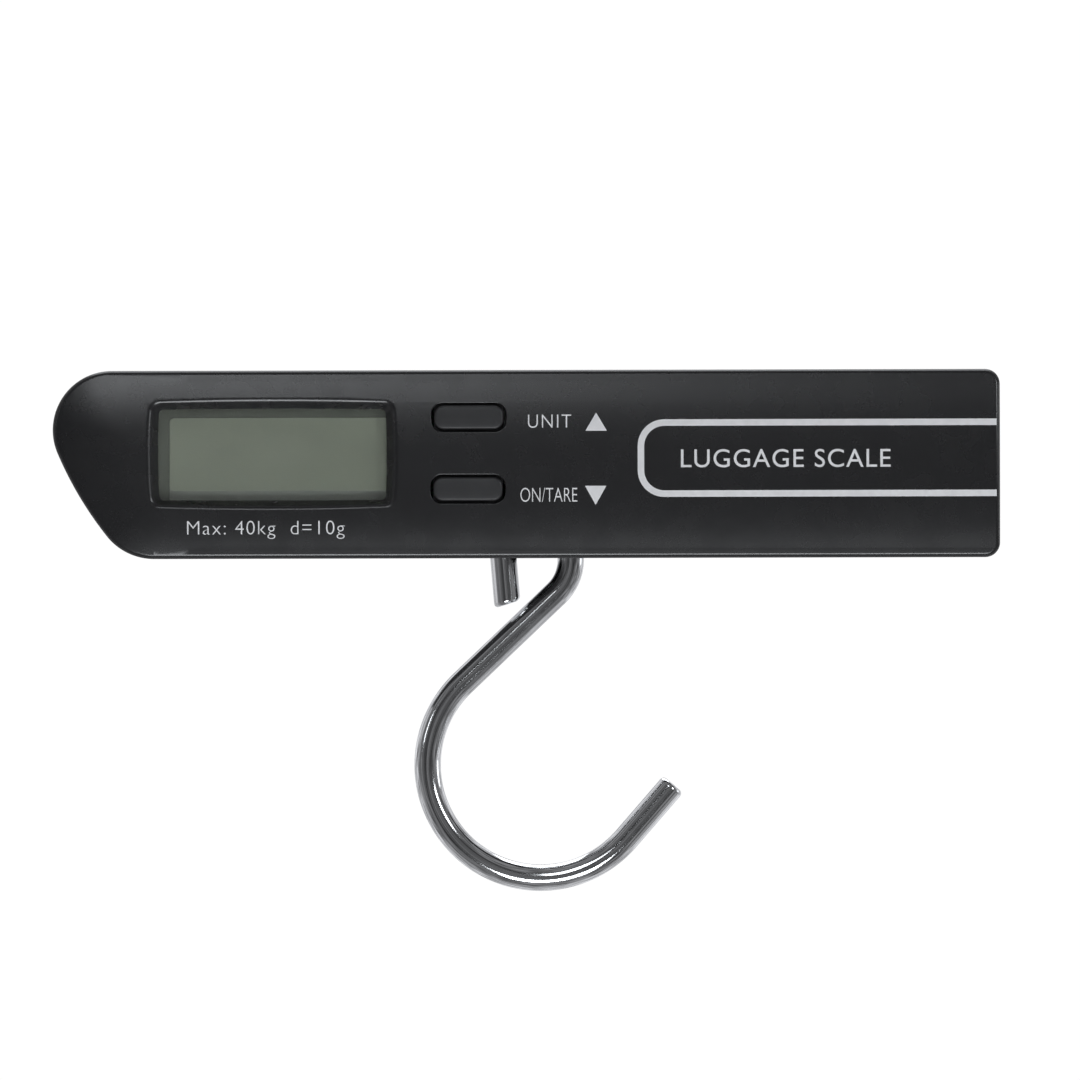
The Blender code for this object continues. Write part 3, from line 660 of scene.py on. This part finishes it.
STEEL = finish(
    "plain_steel", (0.55, 0.55, 0.56), 0.32, 1.0, patch=3, grain=0.1, depth=0.004, stretch=(8, 1, 1),
    worn=(0.75, 0.75, 0.75),
)
ALUMINIUM = finish(
    "aluminium", (0.72, 0.73, 0.74), 0.36, 1.0, patch=4, grain=0.08, depth=0.004, stretch=(12, 1, 1),
    worn=(0.85, 0.85, 0.86),
)
BRASS = finish("brass", (0.72, 0.5, 0.2), 0.3, 1.0, patch=2, worn=(0.85, 0.65, 0.32))
FOIL = finish("gauge_foil", (0.6, 0.36, 0.1), 0.4, patch=1.5, grain=0.2, depth=0.01)
CELL_WRAP = finish("battery_wrap", (0.012, 0.03, 0.085), 0.28, vary=0.08, patch=8, wear=0.3)
BAND = finish("battery_band", (0.5, 0.38, 0.16), 0.3, 0.6, vary=0.08, patch=5)
RED = finish("red_wire", (0.5, 0.02, 0.02), 0.45, patch=3)
BLACK = finish("black_wire", (0.014, 0.014, 0.014), 0.45, patch=3)
GREY = finish("grey_wire", (0.33, 0.33, 0.34), 0.5, patch=3)
PALE = finish("pale_floor", (0.86, 0.86, 0.85), 0.6, vary=0.01, patch=300, depth=0.01)

# ---------------------------------------------------------------- case


def frame_outline(share):
    """An outline on the way from the display frame's outer edge to its aperture."""
    outer = span_rect(FRAME, FRAME_CORNER, FRAME_BOW)
    inner = span_rect(APERTURE, APERTURE_CORNER, APERTURE_BOW)
    points = []
    for a, b in zip(outer, inner):
        points.append((a[0] + (b[0] - a[0]) * share, a[1] + (b[1] - a[1]) * share))
    return points


def frame_levels():
    """(share, depth) pairs down the frame: a round upper edge, the slope and the lip."""
    turn, steps = math.radians(50), 6
    round_share, round_depth = 0.55, 0.5
    lip = ((0.97, 0), (0.99, 0.03), (1, 0.1))
    levels = []
    for i in range(steps + 1):
        a = turn * i / steps
        fall = (1 - math.cos(a)) / (1 - math.cos(turn))
        levels.append((round_share * math.sin(a) / math.sin(turn), round_depth * fall))
    return levels + [(share, FRAME_DEPTH + depth) for share, depth in lip] + [(1, WALL)]


def slice_mesh(bm, axis, places, test=lambda face: True):
    """Cuts faces across at planes, so that they can follow the crown."""
    normal = Vector([float(name == axis) for name in "xyz"])
    for at in places:
        faces = [f for f in bm.faces if test(f)]
        edges = {e for f in faces for e in f.edges}
        verts = {v for f in faces for v in f.verts}
        bmesh.ops.bisect_plane(
            bm, geom=faces + list(edges) + list(verts), dist=MERGE,
            plane_co=normal * at, plane_no=normal,
        )


def follow_crown(bm):
    """Moves what is near the face back by the crown, less and less below the face."""
    for v in bm.verts:
        share = min(1.0, (FRONT_INNER_Y - HAIR - v.co.y) / CROWN_FADE)
        if share > 0:
            v.co.y += crown(v.co.x, v.co.z) * share


def screw_post(name, post):
    """Boolean steps for a post behind the face at a screw, and for its bore."""
    at = middle(name)
    centre = (at.x, at.z)
    return [
        ("UNION", rod(centre, FRONT_INNER_Y - OVERLAP, post["end"], post["radius"])),
        ("DIFFERENCE", rod(centre, *post["bore"], post["bore_radius"])),
    ]


def front_shell():
    """The front half: crowned face, display frame, key holes, screw posts and tongue."""
    bm = bmesh.new()
    profile = quarter(FRONT_ROUND, FRONT_Y, 8)
    profile += [(0, FRONT_RIM_Y - EDGE_SOFT), (EDGE_BEND, FRONT_RIM_Y - EDGE_BEND)]
    profile += [(EDGE_SOFT, FRONT_RIM_Y), (TONGUE_INSET, FRONT_RIM_Y), (TONGUE_INSET, TONGUE_Y)]
    profile += [(WALL, TONGUE_Y), (WALL, FRONT_INNER_Y)]
    side = [ring(bm, case_outline(inset), y) for inset, y in profile]
    wells = [[ring(bm, frame_outline(share), FRONT_Y + depth) for share, depth in frame_levels()]]
    for name in KEY_NAMES:
        at = middle(f"{name}_button")
        levels = quarter(KEY_HOLE_ROUND, FRONT_Y, 4) + [(0, FRONT_INNER_Y)]
        well = []
        for wider, y in levels:
            size = [s + 2 * wider for s in KEY_HOLE]
            well.append(ring(bm, rounded_rect((at.x, at.z), size, KEY_HOLE_CORNER + wider), y))
        wells.append(well)
    for rings in [side] + wells:
        wrap(bm, rings)
    fill(bm, side[0], *[well[0] for well in wells])
    fill(bm, side[-1], *[well[-1] for well in wells])
    bmesh.ops.recalc_face_normals(bm, faces=bm.faces)
    posts = []
    for names, post in ((CASE_SCREWS, CASE_POST), (BOARD_SCREWS, BOARD_POST)):
        for name in names:
            posts += screw_post(name, post)
    bm = combined(bm, posts)
    slice_mesh(bm, "z", FACE_CUTS)
    just_behind = FRONT_Y + 0.001
    slice_mesh(bm, "x", END_CUTS, lambda f: all(v.co.y < just_behind for v in f.verts))
    follow_crown(bm)
    piece("front_shell", bm, "case", CASING, ("front_casing",))


def beam_seat():
    """Boolean steps for the block that the load cell is screwed to, and its insert holes."""
    past_insert, hole_y, hole_r = 4, 2, 2.7
    low, high = span("load_cell_beam")
    centre_z = middle("load_cell_beam").z
    insert_x = [middle(f"threaded_insert_{side}").x for side in ("left", "right")]
    seat_low = (low.x, high.y + GAP, low.z)
    seat_high = (insert_x[1] + past_insert, REAR_INNER_Y + OVERLAP, high.z)
    steps = [("UNION", box(seat_low, seat_high))]
    for x in insert_x:
        steps.append(("DIFFERENCE", rod((x, centre_z), hole_y, REAR_INNER_Y - TOUCH, hole_r)))
    return steps


def screw_tube(name):
    """Boolean steps for a tube round a case screw, with a hole for the screw and one for its head."""
    at = middle(name)
    centre = (at.x, at.z)
    return [
        ("UNION", rod(centre, TUBE_Y, REAR_INNER_Y + OVERLAP / 2, TUBE_R)),
        ("DIFFERENCE", rod(centre, TUBE_BORE_Y, HEAD_SEAT_Y + OVERLAP, SCREW_HOLE_R)),
        ("DIFFERENCE", rod(centre, HEAD_SEAT_Y, BACK_Y + OVERLAP, HEAD_HOLE_R, 48)),
    ]


def battery_bay():
    """Boolean steps for the bay, the seat and grooves of its cover, and openings for the leads."""
    lip_y = RAIL_Y[1] + GAP
    beyond = RIGHT_X + 5
    groove = RAIL_REACH + GAP
    low_z, high_z = COVER_Z
    outside = BACK_Y + OVERLAP
    shapes = [
        box((BAY_X[0], BAY_FLOOR[1], BAY_Z[0]), (BAY_X[1], outside, BAY_Z[1])),
        box((COVER_X[0] - GAP, lip_y, low_z - GAP), (beyond, outside, high_z + GAP)),
        box(
            (BAY_PARTITION - TOUCH, RAIL_Y[0] - GAP, low_z - groove),
            (beyond, lip_y + TOUCH, high_z + groove),
        ),
    ]
    width, half = LEAD_OPENING
    for name in ("upper", "lower"):
        z = middle(f"battery_{name}").z
        low = (BAY_X[0] - TOUCH, BAY_FLOOR[0] - OVERLAP, z - half)
        shapes.append(box(low, (BAY_X[0] + width, 0, z + half)))
    return [("DIFFERENCE", shape) for shape in shapes]


def rear_shell():
    """The rear half: hook slot, beam seat, screw tubes and battery bay."""
    profile = [(inset, -y) for inset, y in quarter(BACK_ROUND, -BACK_Y, 10)]
    profile += [(0, REAR_RIM_Y + EDGE_SOFT), (EDGE_BEND, REAR_RIM_Y + EDGE_BEND)]
    profile += [(EDGE_SOFT, REAR_RIM_Y)]
    shell = loft([(y, case_outline(inset)) for inset, y in profile])
    start = REAR_RIM_Y - OVERLAP
    steps = [
        ("DIFFERENCE", plate(case_outline(WALL, BAY_PARTITION), start, REAR_INNER_Y)),
        ("DIFFERENCE", plate(case_outline(WALL), start, BAY_FLOOR[0])),
        ("DIFFERENCE", plate(case_outline(TONGUE_INSET - GAP), start, TONGUE_Y + GAP)),
    ]
    steps += beam_seat()
    for name in CASE_SCREWS:
        steps += screw_tube(name)
    steps += battery_bay()
    corner = SLOT_HALF[1] - 0.05
    slot = rounded_rect((0, 0), [2 * half for half in SLOT_HALF], corner, steps=12)
    slot_top = -HEIGHT + WALL + OVERLAP / 2
    steps.append(("DIFFERENCE", plate(slot, -HEIGHT - OVERLAP, slot_top, "Z")))
    bm = combined(shell, steps)
    soften(bm, EDGE_SOFT, lambda co: co.y > BACK_Y - HAIR or co.z < HAIR - HEIGHT)
    piece("rear_shell", bm, "case", CASING, ("rear_casing",))


def cover_rail(edge, way):
    """The rail along one long edge of the cover, towards -Z or +Z."""
    lip_y = BACK_Y - COVER_THICK + OVERLAP / 2
    rail = [
        (RAIL_Y[0], edge + way * RAIL_REACH),
        (RAIL_Y[1], edge + way * RAIL_REACH),
        (RAIL_Y[1], edge),
        (lip_y, edge),
        (lip_y, edge - way),
        (RAIL_Y[0], edge - way),
    ]
    rail = [(y, z - way * HAIR) for y, z in rail]
    return plate(rail, BAY_X[0], COVER_X[1] - 1, "X")


def cover():
    """The battery cover: a plate with a rounded end, two rails, a catch and grip grooves."""
    x0, x1 = COVER_X
    z0, z1 = COVER_Z
    centre_z = (z0 + z1) / 2
    outside = BACK_Y + OVERLAP
    inner_y = BACK_Y - COVER_THICK
    joined_y = inner_y + OVERLAP / 2
    end_y = RAIL_Y[0] + TOUCH
    side = [(x0, inner_y), (x1 - COVER_END, inner_y), (x1 - COVER_END, end_y), (x1, end_y)]
    side += arc((x1 - BACK_ROUND, BACK_Y - BACK_ROUND), BACK_ROUND, 0, 90, 10) + [(x0, BACK_Y)]
    steps = [("UNION", cover_rail(z0, -1)), ("UNION", cover_rail(z1, 1))]
    tip_x, neck_x, root_x = CATCH_X
    catch = [(tip_x, RAIL_Y[0]), (root_x, RAIL_Y[0]), (root_x, joined_y)]
    catch += [(neck_x, joined_y), (neck_x, RAIL_Y[1]), (tip_x, RAIL_Y[1])]
    steps.append(("UNION", plate(catch, centre_z - CATCH_HALF, centre_z + CATCH_HALF, "Z")))
    width, depth, height = GRIP_SIZE
    for i in range(GRIP_GROOVES):
        x = GRIP_START + GRIP_PITCH * i + width / 2
        groove = rounded_rect((x, centre_z), (width, height), width / 2 - 0.02)
        steps.append(("DIFFERENCE", plate(groove, BACK_Y - depth, outside)))
    start, length = ARROW_X
    arrow = [(start, centre_z - ARROW_HALF), (start + length, centre_z), (start, centre_z + ARROW_HALF)]
    steps.append(("DIFFERENCE", plate(arrow, BACK_Y - depth, outside)))
    bm = combined(plate(side, z0, z1, "Z"), steps)
    soften(bm, EDGE_SOFT, lambda co: co.y > BACK_Y - HAIR)
    piece("battery_door", bm, "cover", CASING, ("battery_cover",))


# ---------------------------------------------------------------- display and keys


def sheet(spans, corner, thick, back_y):
    """A thin rounded sheet in front of a surface, with a soft front edge."""
    bm = plate(span_rect(spans, corner), back_y - thick, back_y)
    return soften(bm, thick / 3, lambda co: co.y < back_y)


def display():
    """The window, the display glass, its lit area and the darker strip below that. The dark glass that
    shows left of and above the lit area is a painted shadow of the frame.
    """
    low, high = span("display_window")
    pane = plate(span_rect({"x": (low.x, high.x), "z": (low.z, high.z)}, 1.2), low.y, high.y)
    pane = soften(pane, 0.08, sharper_than=60)
    piece("display_pane", pane, "case", CLEAR, ("display_window",))
    low, high = span("lcd_panel")
    glass = soften(box(low, high), 0.12, sharper_than=60)
    piece("display_glass", glass, "case", SHADOWED_GLASS, ("lcd_panel",))
    film = sheet(LIT_AREA, 0.8, FILM_THICK, low.y)
    piece("display_film", film, "case", FILM)
    strip = sheet(FOOT, 0.3, FOOT_THICK, low.y)
    piece("display_foot", strip, "case", FILM_FOOT)


def key_cap(name):
    """A key with a soft, slightly domed top, its flange and its stem."""
    low, high = span(f"{name}_button")
    centre = ((low.x + high.x) / 2, (low.z + high.z) / 2)
    width, height = KEY_SIZE
    flange = (width, high.z - low.z)
    front_y, back_y = KEY_FLANGE_Y
    places = (
        (high.y, KEY_STEM), (back_y, KEY_STEM), (back_y, flange), (front_y, flange),
        (front_y, KEY_SIZE),
    )
    levels = [(y, size, KEY_CORNER) for y, size in places]
    rim_y = low.y + KEY_DOME[-1][1]
    for inset, y in reversed(quarter(KEY_ROUND, rim_y, 5)):
        levels.append((y, (width - 2 * inset, height - 2 * inset), KEY_CORNER - inset))
    for inset, rise in KEY_DOME:
        size = (width - 2 * inset, height - 2 * inset)
        levels.append((rim_y - rise, size, max(KEY_CORNER - inset, 0.08)))
    bm = loft([(y, rounded_rect(centre, size, radius)) for y, size, radius in levels])
    piece(f"{name}_key_cap", bm, f"{name}_key", KEY, (f"{name}_button",))


# ---------------------------------------------------------------- printing


def raised(bm):
    """Lays flat printing on the crowned face."""
    for v in bm.verts:
        v.co.y += crown(v.co.x, v.co.z)
    return bm


def print_shape(name, outline):
    """A flat printed shape, cut across so that it can follow the crown."""
    bm = plate(outline, FRONT_Y - INK, FRONT_Y + INK)
    slice_mesh(bm, "z", FACE_CUTS)
    piece(name, raised(bm), "case", INK_GREY)


def text_shape(text, weight, tracking):
    """Lettering in the plain built-in face, as a solid about one unit high."""
    curve = bpy.data.curves.new("text", "FONT")
    curve.body = text
    curve.extrude = 0.5
    curve.offset = weight
    curve.space_character = tracking
    curve.resolution_u = 6
    obj = bpy.data.objects.new("text", curve)
    bpy.context.scene.collection.objects.link(obj)
    bm = evaluated(obj)
    bpy.data.objects.remove(obj)
    bmesh.ops.remove_doubles(bm, verts=bm.verts, dist=0.0001)
    return bm


def extent(bm, axis):
    """The lowest and highest place of a shape along an axis."""
    values = [v.co[axis] for v in bm.verts]
    return min(values), max(values)


def print_text(name, text, left, right, baseline, cap, weight, tracking):
    """Plain lettering fitted between two x positions, with capitals of a given height."""
    sample = text_shape("H", weight, 1.0)
    up = cap / extent(sample, 1)[1]
    sample.free()
    bm = text_shape(text, weight, tracking)
    low, high = extent(bm, 0)
    across = (right - left) / (high - low)
    for v in bm.verts:
        u, rise, out = v.co
        v.co = (left + (u - low) * across, FRONT_Y - 2 * INK * out, baseline + rise * up)
    piece(name, raised(bm), "case", INK_GREY)


def band_outline():
    """The band round the title: a line open to the right, with two round corners."""
    left, right = BAND_X
    bottom, top = BAND_Z
    x = left + BAND_CORNER
    outline = []
    for inset, way in ((0, 1), (BAND_LINE, -1)):
        radius = BAND_CORNER - inset
        upper = arc((x, top - BAND_CORNER), radius, 90, 180, 12)
        lower = arc((x, bottom + BAND_CORNER), radius, 180, 270, 12)
        outline += ([(right, top - inset)] + upper + lower + [(right, bottom + inset)])[::way]
    return outline


def printing():
    """All that is printed on the face."""
    for label in LABELS:
        print_text(*label)
    for name, (x, base, tip) in ARROWS.items():
        print_shape(name, [(x - MARK_HALF, base), (x + MARK_HALF, base), (x, tip)])
    print_shape("outline_band", band_outline())


# ---------------------------------------------------------------- hook


def wire_ring(bm, centre, along, radius, skew=0.0):
    """One turn of vertices round a wire that lies in the plane of the hook."""
    sides = 48
    across = Vector((along.y, -along.x))
    verts = []
    for k in range(sides):
        angle = 2 * math.pi * k / sides
        offset = radius * math.cos(angle)
        spot = centre + across * offset + along * (skew * offset)
        verts.append(bm.verts.new((spot.x, radius * math.sin(angle), spot.y)))
    return verts


def hook_wire():
    """One bent wire of bright steel with softly rounded ends; the stub is cut at a slant."""
    path = hook_path()
    first = (path[1] - path[0]).normalized()
    last = (path[-1] - path[-2]).normalized()
    slant = math.tan(math.radians(STUB_SKEW))
    end = quarter(WIRE_END_ROUND, 0, 5)
    bm = bmesh.new()
    rings = []
    # Over each rounded end the wire is narrower the nearer it is to its last face
    for inset, narrower in reversed(end):
        rings.append(wire_ring(bm, path[0] + first * inset, first, WIRE_R - narrower, slant))
    for before, at, after in zip(path, path[1:], path[2:]):
        rings.append(wire_ring(bm, at, (after - before).normalized(), WIRE_R))
    for inset, narrower in end:
        rings.append(wire_ring(bm, path[-1] - last * inset, last, WIRE_R - narrower))
    wrap(bm, rings)
    bm.faces.new(rings[0])
    bm.faces.new(rings[-1])
    bmesh.ops.recalc_face_normals(bm, faces=bm.faces)
    piece("hook_wire", bm, "hook", CHROME, ("hook",))


# ---------------------------------------------------------------- screws and batteries


def cross_screw(name, node_name, head_r, head_h, shank_r, length):
    """A pan-head screw facing +Y, with a cross recess and a blunt point."""
    dome_h, foot = 0.9, 0.08
    point, tip_r = 0.8, 0.2
    recess, arm, slot = 1.1, head_r * 0.62, 0.32
    low, high = span(node_name)
    at = Vector(((low.x + high.x) / 2, high.y - head_h, (low.z + high.z) / 2))
    turns = [math.radians(90 * i / 7) for i in range(8)]
    profile = [(head_r * math.sin(a), head_h - dome_h * (1 - math.cos(a))) for a in turns]
    profile += [(head_r, foot), (head_r - foot, 0), (shank_r, 0)]
    profile += [(shank_r, point - length), (tip_r, -length), (0, -length)]
    bm = turned(profile, at)
    top_y = at.y + head_h
    for x, z in ((arm, slot), (slot, arm)):
        low_corner = (at.x - x, top_y - recess, at.z - z)
        high_corner = (at.x + x, top_y + OVERLAP, at.z + z)
        bm = combined(bm, [("DIFFERENCE", box(low_corner, high_corner))])
    piece(name, bm, "case", STEEL, (node_name,))


def battery(name, way):
    """A cell with a steel can, a printed sleeve and a band at its positive end."""
    low, high = span(f"battery_{name}")
    centre = (low + high) / 2
    radius = (high.z - low.z) / 2
    length = high.x - low.x
    start = Vector((low.x if way > 0 else high.x, centre.y, centre.z))
    turn = 0 if way > 0 else math.pi
    place = Matrix.Translation(start) @ Matrix.Rotation(turn, 4, "Z")
    can_r = radius - 0.1
    can = [(0, 0), (2.3, 0), (2.6, 0.25), (2.6, 0.8), (4.7, 0.8), (can_r, 1.15)]
    can += [(can_r, length - 0.4), (can_r - 0.4, length), (0, length)]
    fold_r = radius - 0.5
    inside_r = radius - 0.08
    sleeve = [(fold_r, 0.95), (radius, 1.3), (radius, length - 0.5), (fold_r, length - 0.12)]
    sleeve += [(fold_r, length - 0.2), (inside_r, length - 0.6), (inside_r, 1.4)]
    band_r = radius + 0.02
    band = [(radius, 1.35), (band_r, 1.4), (band_r, 12.0), (radius, 12.05)]
    shapes = (
        ("can", turned(can, (0, 0, 0), "X"), "plain_steel", STEEL, (f"battery_{name}",)),
        ("sleeve", hoop(sleeve), "battery_wrap", CELL_WRAP, ()),
        ("band", hoop(band), "brass", BAND, ()),
    )
    for part, bm, slot, used, replaced in shapes:
        bm.transform(place)
        piece(f"battery_{part}_{name}", bm, "case", used, replaced)


def contact_spring(name, way):
    """A coil that widens from the battery to the wall of the bay, with closed end turns."""
    low, high = span(f"contact_spring_{name}")
    centre = (low + high) / 2
    wire_r, turns, steps = 0.3, 5, 24
    first, last = 2.2, (high.z - low.z) / 2 - wire_r
    length = high.x - low.x - 2 * wire_r
    points = []
    for i in range(turns * steps + 1):
        share = i / (turns * steps)
        climb = share * share * (3 - 2 * share)
        angle = 2 * math.pi * i / steps
        radius = first + (last - first) * share
        along = wire_r + length * climb
        x = low.x + along if way > 0 else high.x - along
        y = centre.y + radius * math.cos(angle)
        z = centre.z + radius * math.sin(angle)
        points.append(Vector((x, y, z)))
    bm = sweep(points, wire_r, 10)
    piece(f"spring_{name}", bm, "case", STEEL, (f"contact_spring_{name}",))


def carried_over():
    """Gives the CAD nodes that stay their finishes."""
    finishes = {
        WHITE: ("lcd_holder", "unit_plunger", "tare_plunger"),
        RUBBER: ("zebra_strip_upper", "zebra_strip_lower"),
        BOARD: ("main_pcb",),
        EPOXY: ("chip_blob", "unit_switch", "tare_switch"),
        ALUMINIUM: ("load_cell_beam",),
        FOIL: ("strain_gauge_upper", "strain_gauge_lower"),
        BRASS: ("threaded_insert_left", "threaded_insert_right"),
        STEEL: (
            "beam_screw_left", "beam_screw_right", "front_link_plate", "rear_link_plate", "link_bolt",
            "link_nut", "hook_pin", "hook_pin_clip", "contact_plate_upper", "contact_plate_lower",
            "contact_bridge",
        ),
        GREY: ("load_cell_cable",),
        RED: ("battery_lead_red",),
        BLACK: ("battery_lead_black",),
    }
    for used, names in finishes.items():
        for name in names:
            for material_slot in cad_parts[name].material_slots:
                material_slot.material = used


# ---------------------------------------------------------------- studio


LIGHT_COLOUR = (0.94, 0.97, 1.0)
# Soft boxes: name, azimuth and elevation in degrees, distance, width and height in metres, radiance
LIGHTS = (
    ("upper_left", -8, 22, 1.0, (0.23, 0.3), 3.9),
    ("left_lamp", -52, 12, 1.4, (0.08, 0.3), 4),
    ("right_strip", 42, 14, 1.4, (0.2, 0.42), 10),
    ("low_panel", 4, -34, 0.9, (0.44, 0.26), 9.0),
    ("back_top", 180, 65, 2.4, (2.0, 2.0), 2.5),
    ("right_side", 98, 2, 1.2, (0.35, 0.3), 1.7),
)
# Where the lights look, in metres
LIT_POINT = Vector((0, 0, -0.03))
# How bright the room is at angles away from the camera, as seen from the case
SURROUNDINGS = (
    (0, 0.13), (12, 0.09), (28, 0.04), (50, 0.18), (65, 0.16), (80, 0.26), (95, 0.42), (120, 0.62),
    (180, 0.74),
)
BACKGROUND = (1.02, 1.02, 1.02)
# The floor, in metres
FLOOR_Z = -0.62
FLOOR_HALF = 3.0
FLOOR_HOLLOW = 0.004
# The camera: what it sees across and how far away it is, where it looks, and how many degrees
# it leans clockwise
VIEW_WIDTH = 182.3
VIEW_DISTANCE = 2000.0
VIEW_CENTRE = (0.78, -28.73)
ROLL = 0.14


def area_light(name, azimuth, elevation, distance, size, radiance):
    """A soft box that looks at the case; azimuth 0 is at the camera, and + is to the right.

    The radiance is how bright the box itself looks, next to 1 for a white background.
    """
    a, e = math.radians(azimuth), math.radians(elevation)
    away = Vector((math.sin(a) * math.cos(e), -math.cos(a) * math.cos(e), math.sin(e)))
    light = bpy.data.lights.new(name, "AREA")
    light.shape = "RECTANGLE"
    light.size, light.size_y = size
    light.color = LIGHT_COLOUR
    light.energy = radiance * math.pi * size[0] * size[1]
    obj = bpy.data.objects.new(name, light)
    obj.location = LIT_POINT + away * distance
    obj.rotation_euler = away.to_track_quat("Z", "Y").to_euler()
    obj.visible_camera = False
    bpy.context.scene.collection.objects.link(obj)


def room():
    """A plain white background, and for reflections a room with darker and lighter patches."""
    world = bpy.data.worlds.new("room")
    world.use_nodes = True
    tree = world.node_tree
    tree.nodes.clear()
    way = node(tree, "ShaderNodeTexCoord").outputs["Generated"]
    ahead = node(tree, "ShaderNodeSeparateXYZ", Vector=way).outputs["Y"]
    ramp = node(tree, "ShaderNodeValToRGB", Fac=remap(tree, ahead, -1.0, 1.0))
    stops = ramp.color_ramp.elements
    for angle, brightness in SURROUNDINGS[1:-1]:
        stops.new((1 - math.cos(math.radians(angle))) / 2)
    for stop, (angle, brightness) in zip(stops, SURROUNDINGS):
        stop.color = (brightness, brightness, brightness * 1.03, 1.0)
    dimmest, brightest = 0.3, 1.7
    clutter = node(tree, "ShaderNodeTexNoise", Vector=way, Scale=6.0, Detail=4.0).outputs["Fac"]
    uneven = remap(tree, clutter, 0.35, 0.65, dimmest, brightest)
    surroundings = node(
        tree, "ShaderNodeVectorMath", {"operation": "SCALE"}, Vector=ramp.outputs["Color"], Scale=uneven
    ).outputs["Vector"]
    seen = node(tree, "ShaderNodeLightPath").outputs["Is Camera Ray"]
    colour = blend(tree, seen, surroundings, BACKGROUND)
    made = node(tree, "ShaderNodeBackground", Color=colour, Strength=1.0)
    output = node(tree, "ShaderNodeOutputWorld")
    tree.links.new(made.outputs[0], output.inputs["Surface"])
    bpy.context.scene.world = world
    bpy.context.scene.view_settings.view_transform = "Standard"


def floor():
    """A pale floor well below the hook, just a little hollow so that it reads as paper."""
    bm = bmesh.new()
    bmesh.ops.create_grid(bm, x_segments=24, y_segments=24, size=FLOOR_HALF)
    for v in bm.verts:
        v.co.z = FLOOR_Z + FLOOR_HOLLOW * (v.co.x ** 2 + v.co.y ** 2)
    mesh = bpy.data.meshes.new("floor")
    bm.to_mesh(mesh)
    bm.free()
    mesh.shade_smooth()
    mesh.materials.append(PALE)
    obj = bpy.data.objects.new("floor", mesh)
    obj.visible_glossy = False
    bpy.context.scene.collection.objects.link(obj)


def camera():
    """A long lens square to the face, as wide as the case with a margin."""
    view = bpy.data.cameras.new("camera")
    view.sensor_width = 36
    view.lens = view.sensor_width * VIEW_DISTANCE / VIEW_WIDTH
    view.clip_start = 0.1
    view.clip_end = 20
    obj = bpy.data.objects.new("camera", view)
    x, z = VIEW_CENTRE
    obj.location = Vector((x, FRONT_Y - VIEW_DISTANCE, z)) * MM
    obj.rotation_euler = (math.radians(90), math.radians(ROLL), 0)
    bpy.context.scene.collection.objects.link(obj)
    bpy.context.scene.camera = obj


front_shell()
rear_shell()
cover()
display()
for key_name in KEY_NAMES:
    key_cap(key_name)
printing()
hook_wire()
for number, screw in enumerate(CASE_SCREWS, 1):
    cross_screw(f"cross_screw_{number}", screw, head_r=2.5, head_h=1.8, shank_r=1.2, length=10.3)
for number, screw in enumerate(BOARD_SCREWS, 1):
    cross_screw(f"board_screw_{number}", screw, head_r=1.9, head_h=1.2, shank_r=1.0, length=5.8)
battery("upper", 1)
battery("lower", -1)
contact_spring("upper", 1)
contact_spring("lower", -1)
carried_over()
for lamp in LIGHTS:
    area_light(*lamp)
room()
floor()
camera()
